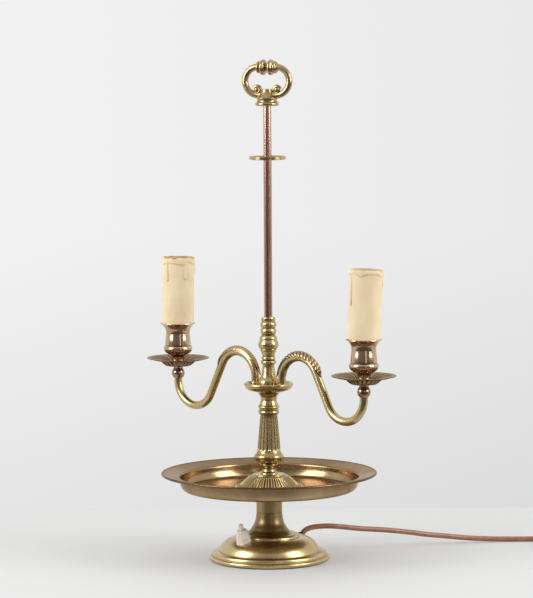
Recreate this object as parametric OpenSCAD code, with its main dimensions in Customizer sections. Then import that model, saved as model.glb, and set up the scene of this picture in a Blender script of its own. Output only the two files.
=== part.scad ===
// Bouillotte lamp: a brass table lamp with a dished tray and two candle lights.
// Millimetres. Origin under the middle of the foot, +Z up, the two arms along X.
// The front of the lamp, with its push switch, faces -Y. The cord leaves at +Y.

/* [Foot] */
// Radius of the foot over its bottom bead
foot_r = 52.3; // [50:0.1:58]
// Height of the spun foot
foot_h = 40.5; // [38:0.5:46]
// Radius of the foot where it meets the collar
foot_neck_r = 11; // [10.6:0.1:12]
// Wall of the spun foot
foot_wall = 1.4; // [1:0.1:1.8]
// Thickness of the felt under the foot
felt_t = 2; // [1.5:0.1:3]
// Thickness of the steel plate that closes the foot
plate_t = 1.2; // [0.8:0.1:2]
// Radius of the cast weight in the foot
weight_r = 19; // [12:0.5:20]

/* [Tray] */
// Radius of the tray over its rolled rim
tray_r = 92.5; // [86:0.5:110]
// Radius of the tray where its wall meets its flange
tray_wall_r = 77.6; // [65:0.1:80]
// Lean of the tray's wall out of upright, in degrees
tray_lean = 14; // [0:1:20]
// Radius of the round bend between the tray's wall and floor
tray_corner = 8; // [5:0.1:8.4]
// Depth of the tray from rim to underside
tray_depth = 14.1; // [12:0.1:20]
// Thickness of the tray sheet
tray_t = 1.2; // [0.8:0.1:1.6]
// Height of the plain collar under the tray
collar_h = 20.3; // [12:0.1:40]
// Radius of the collar
collar_r = 11.07; // [10.6:0.01:14]

/* [Rosette] */
// Radius of the leafy rosette on the tray floor
rosette_r = 29.8; // [24:0.1:36]
// Height of the rosette
rosette_h = 13; // [10:0.1:18]
// Number of ribs round the rosette
rosette_ribs = 28; // [20:1:32]

/* [Column] */
// Height of the fluted column
column_h = 55.5; // [50:0.5:80]
// Radius of the round swelling at the foot of the column
column_bulb_r = 12.8; // [12:0.1:15]
// Radius at the narrow top of the fluted shaft
column_top_r = 7.3; // [7:0.1:8.5]
// Radius of the bead that ends the column
column_bead_r = 9.2; // [8.8:0.1:11]
// Number of flutes
flutes = 20; // [10:1:20]
// Radius of each flute's cutter
flute_r = 0.95; // [0.8:0.05:1.1]

/* [Hub] */
// Radius of the disc that carries the arms
hub_r = 21.15; // [20.4:0.05:26]
// Height of the hub up to the floor of its disc
hub_h = 21.2; // [19:0.1:26]
// Height of the lip round the disc
hub_lip = 0.8; // [0.4:0.1:1.5]
// Radius of the low boss round each arm's foot
hub_boss_r = 4.8; // [4.2:0.1:5]

/* [Baluster and rod] */
// Height of the turned baluster above the hub
baluster_h = 58; // [52:0.5:80]
// Largest radius of the baluster
baluster_r = 8.6; // [8:0.1:10]
// Radius of the beads below the rod
baluster_bead_r = 6.8; // [6.4:0.1:8]
// Radius of the copper coloured rod
rod_r = 3.5; // [3:0.1:4]
// Visible length of the rod
rod_h = 180.3; // [140:0.5:260]
// Free rod between the shade rest and the handle
shade_room = 44; // [20:0.5:70]
// Radius of the disc that a shade rests on
shade_rest_r = 15.6; // [11:0.1:24]
// Thickness of that disc
shade_rest_t = 1.8; // [0.8:0.1:2.4]

/* [Handle] */
// Radius of each side loop of the ring, at its middle line
loop_r = 12; // [11.4:0.1:14]
// Radius of the ring's rod
loop_rod_r = 2.65; // [2:0.05:3]
// Distance of each side loop's middle from the axis
loop_x = 8.3; // [7.5:0.1:10]
// Radius of the two round knops at the top
knop_r = 6.75; // [6:0.05:7.4]
// Radius of the moulded base of the handle
handle_base_r = 10.2; // [9.4:0.1:12]
// Turn of the ring away from the line of the arms, in degrees
handle_turn = 20; // [0:1:45]

/* [Arms] */
// Distance of each light from the axis
arm_reach = 108.5; // [100:0.5:130]
// Radius of the arm tube
arm_r = 3.5; // [3:0.1:4]
// Radius of the bore in the arm tube
arm_bore_r = 2.4; // [1.8:0.1:2.6]
// Distance of each arm's foot from the axis
arm_foot_x = 15.5; // [14.4:0.1:16]
// Radius of the high bend
crest_r = 20.5; // [18:0.1:24]
// Radius of the low bend
dip_r = 21; // [18:0.1:24]
// Height of the straight start of the arm above the hub
arm_start_h = 5.4; // [3:0.1:10]
// How far the low bend's middle lies below the high bend's middle
arm_drop = 9.3; // [4:0.1:20]
// Thickness of the leaf on each arm, at its rib
leaf_t = 2.1; // [1.2:0.1:2.4]
// Lobes along each side of the leaf
leaf_lobes = 9; // [5:1:10]

/* [Lights] */
// Radius of the ball at the end of each arm
ball_r = 5.7; // [5:0.1:7]
// Radius of the fluted drip pan
pan_r = 27.5; // [22:0.1:32]
// Depth of the drip pan from rim to underside
pan_depth = 8.1; // [7:0.1:11]
// Number of flutes in each drip pan
pan_flutes = 24; // [16:1:26]
// Height of the candle cup
cup_h = 36.9; // [34:0.1:46]
// Radius of the cup's flared lip
cup_r = 15.7; // [15.3:0.1:18]
// Radius of the swelling low on the cup
cup_bulb_r = 12.7; // [12:0.1:14]
// Radius of the candle sleeve
candle_r = 14; // [13.4:0.1:14.2]
// Wall of the candle sleeve
candle_wall = 1.3; // [1:0.1:1.5]
// Height of the candle sleeve
candle_h = 58.6; // [57:0.1:80]
// Lean of the left sleeve, in degrees
left_lean = 1; // [0:0.1:1.5]
// Lean of the right sleeve, in degrees
right_lean = 2.5; // [0:0.1:2.5]
// Radius of the lampholder inside the sleeve
holder_r = 10; // [9.4:0.1:10]
// Height of the lampholder
holder_h = 54; // [46:0.1:56]
// Radius inside the lampholder's screw shell
screw_r = 6.95; // [6.8:0.01:7]
// Length of the screw shell
screw_l = 16; // [12:0.1:18]

/* [Switch] */
// Radius over the points of the faceted switch nut
nut_r = 6.55; // [5.8:0.05:7]
// Height of the switch nut
nut_h = 10.8; // [9:0.1:12]
// Number of facets round the switch nut
nut_facets = 10; // [8:1:12]
// Radius of the push button
button_r = 2.1; // [1.8:0.05:2.4]
// How far the button stands out of the nut
button_out = 5; // [3.5:0.1:7]

/* [Cord] */
// Diameter of the mains cord
cord_d = 4.6; // [4:0.1:4.8]
// Radius of the coil at the middle of its turns
coil_mid_r = 27.6; // [26:0.1:29]
// Space between the middles of neighbouring turns
coil_pitch = 5.2; // [5.2:0.1:5.6]
// Turns in the coil, half of them in each of its two layers
coil_turns = 8; // [4:1:8]

/* [Hidden] */
$fn = 64;

// Finishes
brass = [0.72, 0.60, 0.33];
bronze = [0.60, 0.48, 0.34];
copper = [0.55, 0.38, 0.26];
cream = [0.92, 0.85, 0.70];
ivory = [0.86, 0.82, 0.76];
steel = [0.62, 0.62, 0.62];
rubber = [0.18, 0.14, 0.13];
copper_cord = [0.60, 0.40, 0.28];

// Fits
skin = 0.05;             // faceted shell over a round tube
slide_gap = 0.05;        // button in its bush
stud_gap = 0.05;         // handle on its stud
case_gap = 0.8;          // room round the switch's case in the foot
block_gap = 3;           // terminal block to the cast weight
shell_gap = 0.2;         // well in the insert to the bore of the screw shell

// The tube that clamps the whole lamp together
tie_r = 5;
tie_bore_r = 3.5;
tie_z = 4;
tie_up = 8.3;            // into the baluster

// Levels, from the table up
plate_z = felt_t;
cavity_z = plate_z + plate_t;
edge_z = felt_t * 0.4;   // the bead ends just above the table, on the felt
tray_z = foot_h + collar_h;
floor_z = tray_z + tray_t;
column_z = floor_z + rosette_h;
hub_z = column_z + column_h;
hub_top = hub_z + hub_h;
rod_z = hub_top + baluster_h;
handle_z = rod_z + rod_h;
shade_z = handle_z - shade_room - shade_rest_t;
rim_z = tray_z + tray_depth;

// Foot: bead, step and dome. The dome is one round arc.
bead_r = 1.9;
step_in = 3.8;
bead_top = edge_z + 2 * bead_r;
step_top = bead_top + 3.9;
dome_r = 17;
dome_in = foot_r - 24.8;
dome_z = step_top - 5.1;
dome_edge = acos((foot_r - 8.6 - dome_in) / dome_r);
ledge_z = dome_z + dome_r;
cove_rise = foot_h - 5 - ledge_z;
plate_r = foot_r - 3.1;
cove_in = dome_in - 3.8;     // middle of the small bead between dome and cove
cove_bead_r = 1.3;
cove_reach = cove_in + 1.1 - foot_neck_r;

// Cast weight
weight_h = 11.8;
weight_boss_r = 8;
nut_recess_r = 9.5;
nut_recess_h = 5.8;
washer_t = 1;
wire_slot_z = 15;
wire_slot_h = 4;
wire_slot_w = 5.2;

// Switch seat on the front of the dome
switch_a = 74.7;
switch_y = dome_in + dome_r * cos(switch_a);
switch_z = dome_z + dome_r * sin(switch_a);
switch_tilt = 90 - switch_a;
bush_r = 3.9;
bush_h = nut_h - 1.3;
button_l = nut_h + button_out + 6;
switch_case_r = 6.2;
switch_case_h = 12;
switch_case_drop = foot_wall + 1.4;

// Cord hole on the back of the dome
hole_a = 45;
hole_y = dome_in + dome_r * cos(hole_a);
hole_z = dome_z + dome_r * sin(hole_a);
hole_tilt = 90 - hole_a;
grommet_r = 4.6;
grommet_out = 2.6;
grommet_neck_r = 3.3;

// Terminal block between the weight and the cord hole
block = [12, 8, 10];
block_y = dome_in - 1;

// Arm bends: the inner common tangent of the two circles joins them
crest_x = arm_foot_x + crest_r;
crest_z = hub_top + arm_start_h;
dip_x = arm_reach - dip_r;
dip_z = crest_z - arm_drop;
bends = norm([dip_x - crest_x, dip_z - crest_z]);
arm_a = atan2(dip_z - crest_z, dip_x - crest_x) + acos((crest_r + dip_r) / bends);
arm_straight = sqrt(pow(bends, 2) - pow(crest_r + dip_r, 2));
arm_leave = [crest_x + crest_r * cos(arm_a), 0, crest_z + crest_r * sin(arm_a)];
arm_socket = 1.5;
lap = 0.3;
lap_t = 0.02;
arm_into_ball = 2.7;

// Wires: down the arm, across the hub and down the tie tube
wire_r = 1;
wire_way_r = 1.2;
wire_x = 1.3;
wire_hub_z = hub_top - 2.7;
wire_low_z = wire_slot_z + wire_slot_h / 2;

// Each light, from the end of the arm up
ball_z = dip_z + 4.8;
pan_z = dip_z + 11.7;
pan_t = 1.5;
cup_z = pan_z + pan_t;
cup_top = cup_z + cup_h;
seat_z = cup_top - 0.9;
seat_r = candle_r + 0.35;
cup_bore_r = 8.5;
nipple_r = 3;
nipple_bore_r = 2;
nipple_z = ball_z - 1.6;
holder_floor = 4;
nipple_top = seat_z + holder_floor + 2;
screw_wall = 0.55;
shell_top = seat_z + holder_h - 1.5;
shell_z = shell_top - screw_l;
insert_h = 10;
well_h = 1.8;
contact_h = 1.4;
lean_way = 43;

// Cord and coil. The route is a list of points, and the coil's turns are worked out.
coil_at = [172, 232];
coil_heading = 45;
coil_z = cord_d / 2 + 0.05;
coil_out_r = coil_mid_r + coil_pitch * coil_turns / 4;
coil_start = coil_end(0);
coil_stop = coil_end(1);
grommet_mouth = on_hole_axis(grommet_out);
run_points = concat(
    [on_hole_axis(-4), on_hole_axis(-1), grommet_mouth],
    [
        [1, 45, 20.5], [3.5, 50, 22.3], [7.5, 57, 23], [12.5, 64.5, 22.8], [18, 74, 21.5],
        [26, 90, 18.8], [36, 110, 16.3], [46, 131, 12.8], [53, 146, 9.8], [63, 164, 7],
        [73, 181, 4.4], [84, 196, 3], [96, 210, 2.4], [112, 225, 2.4], [128, 241, 2.4]
    ],
    [coil_start]
);
plug_at = [220.5, 232];
plug_turn = -90;
plug_w = 35;
plug_t = 13.7;
plug_z = plug_t / 2;
tail_points = concat(
    [coil_stop],
    [
        [157, 269, 7.2], [168, 275, 6], [180, 277, 4.4], [192, 275, 3.2], [203, 269, 2.6],
        [212, 259.5, 2.9], [218, 249, 4.5], [220.3, 240, 6.2]
    ],
    [[plug_at[0], plug_at[1], plug_z]]
);
pin_r = 2;
pin_l = 19;
pin_gap = 18.6;
sleeve_l = 22;
plug_l = 32;

// ---- Points and curves -------------------------------------------------------

// Points on an arc, from angle a0 to a1
function arc(c, r, a0, a1, n = 8) =
    [for (i = [0:n]) let (a = a0 + (a1 - a0) * i / n) c + r * [cos(a), sin(a)]];

// A smooth curve through the points p, with n steps between neighbours
function smooth(p, n = 4) = concat(
    [for (i = [0:len(p) - 2], k = [0:n - 1]) through(p, i, k / n)],
    [p[len(p) - 1]]
);
function through(p, i, t) =
    let (
        b = p[i],
        c = p[i + 1],
        a = i == 0 ? 2 * b - c : p[i - 1],
        d = i + 2 == len(p) ? 2 * c - b : p[i + 2]
    )
    ((2 * b) + (c - a) * t + (2 * a - 5 * b + 4 * c - d) * t * t
        + (3 * b - a - 3 * c + d) * t * t * t) / 2;

function unit(v) = v / norm(v);
function on_hole_axis(s) =
    [0, hole_y + s * sin(hole_tilt), hole_z + s * cos(hole_tilt)];

// A point of the coil. t runs from 0 to coil_turns: in along the floor, up a layer in
// the middle half turn, and out again. It winds clockwise seen from above.
function coil_turns_out(t) = sqrt(pow(t - coil_turns / 2, 2) + 0.01);
function coil_radius(t) = coil_out_r - coil_pitch * (coil_turns_out(0) - coil_turns_out(t));
function coil_level(t) =
    let (k = min(max((t - coil_turns / 2 + 0.25) * 2, 0), 1))
    coil_z + coil_pitch * k * k * (3 - 2 * k);
function coil_point(t) =
    let (a = coil_heading + 90 - 360 * t)
    [coil_at[0] + coil_radius(t) * cos(a), coil_at[1] + coil_radius(t) * sin(a), coil_level(t)];
function coil_way() = [cos(coil_heading), sin(coil_heading), 0];
function coil_end(e) =
    e == 0 ? coil_point(0) - cord_d * coil_way() : coil_point(coil_turns) + cord_d * coil_way();

// A tube swept along points, closed at both ends. The frame is carried along so that
// the tube doesn't twist.
function carried(p, i, u) =
    let (w = tangent(p, i), v = u - (u * w) * w)
    i == len(p) - 1 ? [unit(v)] : concat([unit(v)], carried(p, i + 1, unit(v)));
function tangent(p, i) =
    unit(p[min(i + 1, len(p) - 1)] - p[max(i - 1, 0)]);
module swept(p, r, sides, side = [0, 0, 1]) {
    up = carried(p, 0, side);
    n = len(p);
    rings = [for (i = [0:n - 1]) let (w = tangent(p, i), v = cross(w, up[i]))
        for (k = [0:sides - 1]) let (a = 360 * (k + 0.5) / sides)
            p[i] + r * (cos(a) * up[i] + sin(a) * v)];
    walls = [for (i = [0:n - 2], k = [0:sides - 1])
        let (a = i * sides + k, b = i * sides + (k + 1) % sides)
            each [[a, b + sides, b], [a, a + sides, b + sides]]];
    caps = [for (k = [1:sides - 2])
        each [[0, k, k + 1], [n * sides - sides, n * sides - sides + k + 1, n * sides - sides + k]]];
    polyhedron(rings, concat(walls, caps));
}

// A closed outline of [radius, height, ripple in radius, ripple in height] turned round
// the axis. The ripple follows a cosine with the given number of waves.
module rippled(outline, waves, steps = 4) {
    m = len(outline);
    n = waves * steps;
    points = [for (i = [0:n - 1]) let (a = 360 * i / n, c = cos(a * waves))
        for (q = outline) let (r = q[0] + q[2] * c) [r * cos(a), r * sin(a), q[1] + q[3] * c]];
    faces = [for (i = [0:n - 1], k = [0:m - 1])
        let (a = i * m + k, b = i * m + (k + 1) % m, s = (i + 1) % n * m)
            each [[a, s + k, s + (k + 1) % m], [a, s + (k + 1) % m, b]]];
    polyhedron(points, faces);
}

module turned(outline) {
    rotate_extrude() polygon(outline);
}

module ring(r_out, r_in, h) {
    difference() {
        cylinder(r = r_out, h = h);
        translate([0, 0, -1]) cylinder(r = r_in, h = h + 2);
    }
}

// A rod or tube along an arc in the XZ plane, from angle a0 up to a1
module bend(r, c, bend_r, a0, a1, bore = 0) {
    translate([c[0], 0, c[1]])
        rotate([90, 0, 0])
            rotate([0, 0, a0])
                rotate_extrude(angle = a1 - a0) translate([bend_r, 0]) difference() {
                    circle(r);
                    if (bore > 0) circle(bore);
                }
}

// ---- Foot --------------------------------------------------------------------

module foot_outline() {
    cove = concat(
        [for (q = [[0.75, 0.19], [0.48, 0.34], [0.33, 0.52], [0.2, 0.66], [0.12, 0.8]])
            [foot_neck_r + q[0] * cove_reach, ledge_z + q[1] * cove_rise]],
        [
            [foot_neck_r + 0.7, foot_h - 5], [foot_neck_r + 0.2, foot_h - 1.6],
            [foot_neck_r, foot_h]
        ]
    );
    polygon(concat(
        [[0, edge_z], [foot_r - bead_r, edge_z]],
        arc([foot_r - bead_r, edge_z + bead_r], bead_r, -90, 90, 10),
        [[foot_r - step_in - bead_r, bead_top]],
        arc([foot_r - step_in - bead_r, (bead_top + step_top) / 2], (step_top - bead_top) / 2,
            -90, 90, 10),
        arc([dome_in, dome_z], dome_r, dome_edge, 90, 24),
        [[dome_in - 1.9, ledge_z - 0.2]],
        arc([cove_in, ledge_z + 0.9], cove_bead_r, -35, 95, 8),
        smooth(cove),
        [[0, foot_h]]
    ));
}

module foot_cavity() {
    in_r = dome_r - foot_wall;
    polygon(concat(
        [[0, 0], [plate_r, 0], [plate_r, cavity_z], [plate_r - 4, cavity_z]],
        [[plate_r - 4, step_top - 1.3]],
        arc([dome_in, dome_z], in_r, acos((plate_r - 6.6 - dome_in) / in_r), 90, 16),
        [[dome_in - 2.5, ledge_z - foot_wall - 0.6]],
        smooth([
            for (q = [[0.66, 0.06], [0.38, 0.25], [0.18, 0.46], [0.01, 0.67], [-0.07, 0.86]])
                [foot_neck_r + q[0] * cove_reach, ledge_z + q[1] * cove_rise]
        ], 3),
        [[foot_neck_r - foot_wall, foot_h - foot_wall], [0, foot_h - foot_wall]]
    ));
}

module on_switch_seat() {
    translate([0, -switch_y, switch_z]) rotate([switch_tilt, 0, 0]) children();
}

module on_cord_hole() {
    translate([0, hole_y, hole_z]) rotate([-hole_tilt, 0, 0]) children();
}

module foot() {
    color(brass) difference() {
        rotate_extrude($fn = 128) foot_outline();
        rotate_extrude($fn = 128) foot_cavity();
        cylinder(r = tie_r, h = foot_h + 1);
        on_switch_seat() translate([0, 0, -4]) cylinder(r = bush_r, h = 8);
        on_cord_hole() translate([0, 0, -4]) cylinder(r = grommet_neck_r, h = 8);
    }
}

module bottom_plate() {
    color(steel) translate([0, 0, plate_z]) cylinder(r = plate_r, h = plate_t);
}

module felt_pad() {
    color([0.2, 0.3, 0.22]) cylinder(r = plate_r, h = felt_t);
}

module foot_weight() {
    color([0.3, 0.3, 0.3]) difference() {
        union() {
            translate([0, 0, cavity_z]) cylinder(r = weight_r, h = weight_h);
            translate([0, 0, cavity_z]) cylinder(r = weight_boss_r, h = foot_h - foot_wall - cavity_z);
        }
        cylinder(r = tie_r, h = foot_h);
        translate([0, 0, cavity_z - 1]) cylinder(r = nut_recess_r, h = nut_recess_h + 1);
        translate([-wire_slot_w / 2, 0, wire_slot_z]) cube([wire_slot_w, weight_boss_r + 1, wire_slot_h]);
        on_switch_seat() translate([0, 0, -switch_case_drop - switch_case_h - case_gap])
            cylinder(r = switch_case_r + case_gap, h = switch_case_h + case_gap);
        translate([-block[0] / 2 - block_gap, block_y - block[1] / 2 - block_gap, cavity_z - 1])
            cube([block[0] + 2 * block_gap, block[1] + 2 * block_gap, weight_h + 2]);
    }
}

module tie_tube() {
    color(steel) difference() {
        translate([0, 0, tie_z]) ring(tie_r, tie_bore_r, hub_top + tie_up - tie_z);
        translate([-wire_slot_w / 2, 0, wire_slot_z]) cube([wire_slot_w, tie_r + 1, wire_slot_h]);
        translate([-tie_r - 1, 0, wire_hub_z]) rotate([0, 90, 0])
            cylinder(r = wire_way_r, h = 2 * tie_r + 2);
    }
}

module tie_washer() {
    color(steel) translate([0, 0, cavity_z + nut_recess_h - washer_t])
        ring(nut_recess_r - 0.4, tie_r, washer_t);
}

module tie_nut() {
    nut_z = tie_z + 0.4;
    color(brass) translate([0, 0, nut_z]) difference() {
        cylinder(r = 8.1, h = cavity_z + nut_recess_h - washer_t - nut_z, $fn = 6);
        translate([0, 0, -1]) cylinder(r = tie_r, h = 9);
    }
}

module collar() {
    color(brass) translate([0, 0, foot_h]) ring(collar_r, collar_r - 1.6, collar_h);
}

// ---- Tray and rosette ----------------------------------------------------------

module tray() {
    corner = tray_corner;
    lip_r = 1;
    bend_r = 1.2;
    bend_at = [tray_wall_r + bend_r, rim_z - 5.3];
    lift = bend_at[1] - tray_z - corner;
    apart = (corner + bend_r + sin(tray_lean) * lift) / cos(tray_lean);
    corner_at = [bend_at[0] - apart, tray_z + corner];
    color(bronze) rotate_extrude($fn = 128) {
        polygon(concat(
            [[tie_r, tray_z]],
            arc(corner_at, corner, -90, -tray_lean),
            arc(bend_at, bend_r, 180 - tray_lean, 104, 4),
            [[tray_r - lip_r, rim_z - 1.6], [tray_r - lip_r, rim_z - 0.35]],
            arc(bend_at, bend_r + tray_t, 104, 180 - tray_lean, 5),
            arc(corner_at, corner - tray_t, -tray_lean, -90),
            [[tie_r, floor_z]]
        ));
        translate([tray_r - lip_r, rim_z - lip_r]) circle(lip_r);
    }
}

module rosette() {
    r = rosette_r;
    h = rosette_h;
    color(brass) translate([0, 0, floor_z]) rippled([
        [tie_r + skin, 0, 0, 0],
        [r - 3, 0, 0.4, 0],
        [r - 0.6, 0.1, 0.8, 0.1],
        [r - 0.4, 1.3, 0.9, 0.2],
        [r - 3.4, 2.4, 0.6, 0.55],
        [r - 7.1, 5.8, 0.55, 0.6],
        [r - 10.4, h - 4.6, 0.45, 0.55],
        [r - 13.4, h - 1.9, 0.35, 0.45],
        [r * 0.43, h - 0.7, 0.1, 0.3],
        [8.6, h - 0.1, 0, 0.1],
        [8, h, 0, 0],
        [tie_r + skin, h, 0, 0]
    ], rosette_ribs);
}

// ---- Column, hub, baluster and rod -----------------------------------------------

shaft_in = 2.85;         // the fluted shaft starts this far inside the swelling
shaft_z = 20.2;
flute_low = shaft_z + 0.2;
flute_high = 5.8;

module column_blank() {
    bulb = column_bulb_r;
    top = column_top_r;
    bead = column_bead_r;
    h = column_h;
    turned(concat(
        [[tie_r, 0], [7.9, 0], [7.9, 0.9]],
        arc([4.8, 3.7], 2.3, -65, 65, 6),
        [[5.9, 6.2], [6.5, 7]],
        arc([7.2, 8.3], 0.85, -80, 80, 5),
        smooth([
            [7.6, 9.5], [10, 10.5], [bulb - 0.7, 12], [bulb, 14.4], [bulb - 0.45, 16],
            [bulb - 1.6, 17.4], [bulb - 2.5, 18.8], [bulb - shaft_in, shaft_z]
        ]),
        [[top, h - 5.4], [top + 0.3, h - 4.8], [top + 0.3, h - 4.3]],
        arc([bead - 1.9, h - 2.3], 1.9, -75, 75, 8),
        [[bead - 0.85, h - 0.3], [bead - 0.85, h], [tie_r, h]]
    ));
}

// A round ended cutter of length l, standing on its lower end
module flute(r, l) {
    rotate_extrude($fn = 32) intersection() {
        union() {
            translate([0, r]) circle(r);
            translate([0, r]) square([r, l - 2 * r]);
            translate([0, l - r]) circle(r);
        }
        square([r, l]);
    }
}

module column() {
    low_r = column_bulb_r - shaft_in;
    length = column_h - flute_low - flute_high;
    lean = atan((low_r - column_top_r) / length);
    color(brass) translate([0, 0, column_z]) difference() {
        column_blank();
        for (i = [0:flutes - 1])
            rotate([0, 0, 360 * i / flutes])
                translate([low_r + 0.25, 0, flute_low])
                    rotate([0, -lean, 0])
                        flute(flute_r, length);
    }
}

module arm_hub() {
    h = hub_h;
    rim = hub_r;
    rim_bead_r = 1.1;
    boss_h = 1.1;
    color(brass) translate([0, 0, hub_z]) difference() {
        union() {
            turned(concat(
                [[tie_r, 0], [8.35, 0], [8.35, 0.3]],
                arc([7.9, 2.1], 1.3, -60, 60, 6),
                smooth([
                    [7.8, 4.2], [7.35, 6.1], [6.8, 7.8], [7, 9.5], [7.5, 11.2], [8.4, 13],
                    [9.6, 15.2], [12.6, 16.4], [rim - 5.9, 17], [rim - 3.4, 17.8],
                    [rim - 1.6, 18.6], [rim - 0.6, 19.5]
                ], 3),
                arc([rim - rim_bead_r, h + hub_lip - rim_bead_r], rim_bead_r, -30, 90, 6),
                [[rim - 2, h], [tie_r, h]]
            ));
            for (side = [-1, 1])
                translate([side * arm_foot_x, 0, h - arm_socket])
                    cylinder(r = hub_boss_r, h = boss_h + arm_socket);
        }
        for (side = [-1, 1]) {
            translate([side * arm_foot_x, 0, h - arm_socket]) cylinder(r = arm_r + lap_t, h = 5);
            translate([side * arm_foot_x, 0, h - 2.7]) cylinder(r = wire_way_r, h = 5);
            translate([side * arm_foot_x, 0, h - 2.7]) sphere(wire_way_r);
        }
        translate([-arm_foot_x, 0, h - 2.7]) rotate([0, 90, 0])
            cylinder(r = wire_way_r, h = 2 * arm_foot_x);
    }
}

module baluster() {
    r = baluster_r;
    bead = baluster_bead_r;
    h = baluster_h;
    color(brass) translate([0, 0, hub_top]) difference() {
        turned(concat(
            [[0, 0], [1.12 * r, 0]],
            arc([1.08 * r, 0.028 * h], 0.019 * h, -75, 75, 5),
            smooth([
                [1.05 * r, 0.055 * h], [1.03 * r, 0.08 * h], [0.93 * r, 0.12 * h],
                [0.77 * r, 0.18 * h], [0.64 * r, 0.228 * h], [0.6 * r, 0.262 * h]
            ], 3),
            [[0.6 * r, 0.286 * h], [0.66 * r, 0.3 * h]],
            arc([0.62 * r, 0.341 * h], 0.036 * h, -70, 70, 8),
            [[0.67 * r, 0.383 * h], [0.67 * r, 0.466 * h], [0.72 * r, 0.486 * h], [0.73 * r, 0.5 * h]],
            arc([0.71 * r, 0.521 * h], 0.017 * h, -70, 70, 4),
            smooth([
                [0.81 * r, 0.54 * h], [0.965 * r, 0.555 * h], [r, 0.576 * h], [0.93 * r, 0.629 * h],
                [0.82 * r, 0.664 * h], [0.72 * r, 0.693 * h], [0.67 * r, 0.724 * h]
            ], 3),
            arc([bead - 1.3, h - 13.2], 1.3, -65, 65, 5),
            [[bead - 0.5, h - 10.3]],
            arc([bead - 1.3, h - 7.2], 1.3, -65, 65, 5),
            smooth([[5.6, h - 5], [5.45, h - 2.8], [5.7, h - 1.6], [5.9, h - 1.1], [5.9, h - 0.3]], 2),
            [[5.6, h], [0, h]]
        ));
        translate([0, 0, -1]) cylinder(r = tie_r, h = tie_up + 1);
        cylinder(r = tie_bore_r - 1.5, h = h);
        translate([0, 0, h - rod_socket]) cylinder(r = rod_r, h = rod_socket + 1);
    }
}

rod_socket = 13;
stud_r = 2.5;
stud_h = 9;

module rod() {
    color(copper) {
        translate([0, 0, rod_z - rod_socket]) cylinder(r = rod_r, h = rod_h + rod_socket);
        translate([0, 0, handle_z]) cylinder(r = stud_r, h = stud_h);
    }
}

module shade_rest() {
    color(copper) translate([0, 0, shade_z]) difference() {
        turned([
            [0, 0], [shade_rest_r - 0.3, 0], [shade_rest_r, 0.35],
            [shade_rest_r, shade_rest_t - 0.35], [shade_rest_r - 0.3, shade_rest_t], [0, shade_rest_t]
        ]);
        translate([0, 0, -1]) cylinder(r = rod_r, h = shade_rest_t + 2);
    }
}

// ---- Handle ------------------------------------------------------------------------

module handle_half() {
    loop_z = 20.9;
    scroll_r = 2.6;
    scroll_x = loop_x + 1;
    scroll_z = loop_z - loop_r + 4.8;
    bend(loop_rod_r, [loop_x, loop_z], loop_r, -112, 98);
    bend(1.6, [scroll_x, scroll_z], scroll_r, 40, 272);
    translate([scroll_x, 0, scroll_z]) sphere(2);
    translate([0, 0, loop_z + loop_r - 0.3]) rotate([0, 90, 0]) {
        cylinder(r = 2.6, h = loop_x - 1);
        rotate_extrude() polygon(concat(
            [[0, 1.2], [2.4, 1.2], [3, 1.8], [2.7, 2.3]],
            smooth([[4.2, 2.7], [knop_r - 0.5, 3.4], [knop_r, 4.2], [knop_r - 0.5, 5], [4.4, 5.9]], 2),
            [[3.2, 6.5], [3.1, 6.8]],
            arc([2.6, 7.7], 1.1, -60, 60, 4),
            [[2.6, 8.7], [0, 8.7]]
        ));
    }
}

module handle() {
    base = handle_base_r;
    color(brass) translate([0, 0, handle_z]) rotate([0, 0, handle_turn]) difference() {
        union() {
            difference() {
                turned(concat(
                    [[0, 0], [base - 1, 0], [base - 0.6, 0.6]],
                    arc([base - 1.2, 2.1], 1.2, -70, 70, 6),
                    smooth([[base - 0.9, 3.4], [base - 1.4, 4.6], [base - 1.3, 5.6]], 3),
                    arc([base - 1.8, 6.6], 0.8, -60, 60, 4),
                    smooth([[base - 1.5, 7.5], [base - 2.6, 9.2], [base - 3.7, 11.2], [base - 4.3, 13.4]], 3),
                    [[base - 4.6, 14.2], [0, 14.2]]
                ));
                for (i = [0:11])
                    rotate([0, 0, 30 * i])
                        translate([base - 1.9, 0, 8.4])
                            rotate([0, -24, 0]) flute(0.9, 8);
            }
            handle_half();
            mirror([1, 0, 0]) handle_half();
        }
        translate([0, 0, -1]) cylinder(r = stud_r + stud_gap, h = stud_h + 2);
    }
}

// ---- Arms --------------------------------------------------------------------------

// A straight run of the arm tube. It laps over the bends at its ends and is a hair
// thicker than they are, inside and out.
module run(l, low_lap, high_lap) {
    translate([0, 0, -low_lap])
        ring(arm_r + lap_t, arm_bore_r - lap_t, l + low_lap + high_lap);
}

module arm() {
    low = hub_top - arm_socket;
    high = dip_z + arm_into_ball;
    color(brass) {
        translate([arm_foot_x, 0, low]) run(crest_z - low, 0, lap);
        bend(arm_r, [crest_x, crest_z], crest_r, arm_a, 180, arm_bore_r);
        translate(arm_leave) rotate([0, 180 - arm_a, 0]) run(arm_straight, lap, lap);
        bend(arm_r, [dip_x, dip_z], dip_r, arm_a - 180, 0, arm_bore_r);
        translate([arm_reach, 0, dip_z]) run(high - dip_z, lap, 0);
    }
}

// Acanthus leaf over the crest of an arm: a lobed blade with a rib and side veins. Its
// narrow inner tip stands free beside the hub, and its outer tip is thick and rounded.
leaf_a0 = 176;
leaf_a1 = 9;
leaf_steps = 5;
leaf_across = 4;

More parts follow.
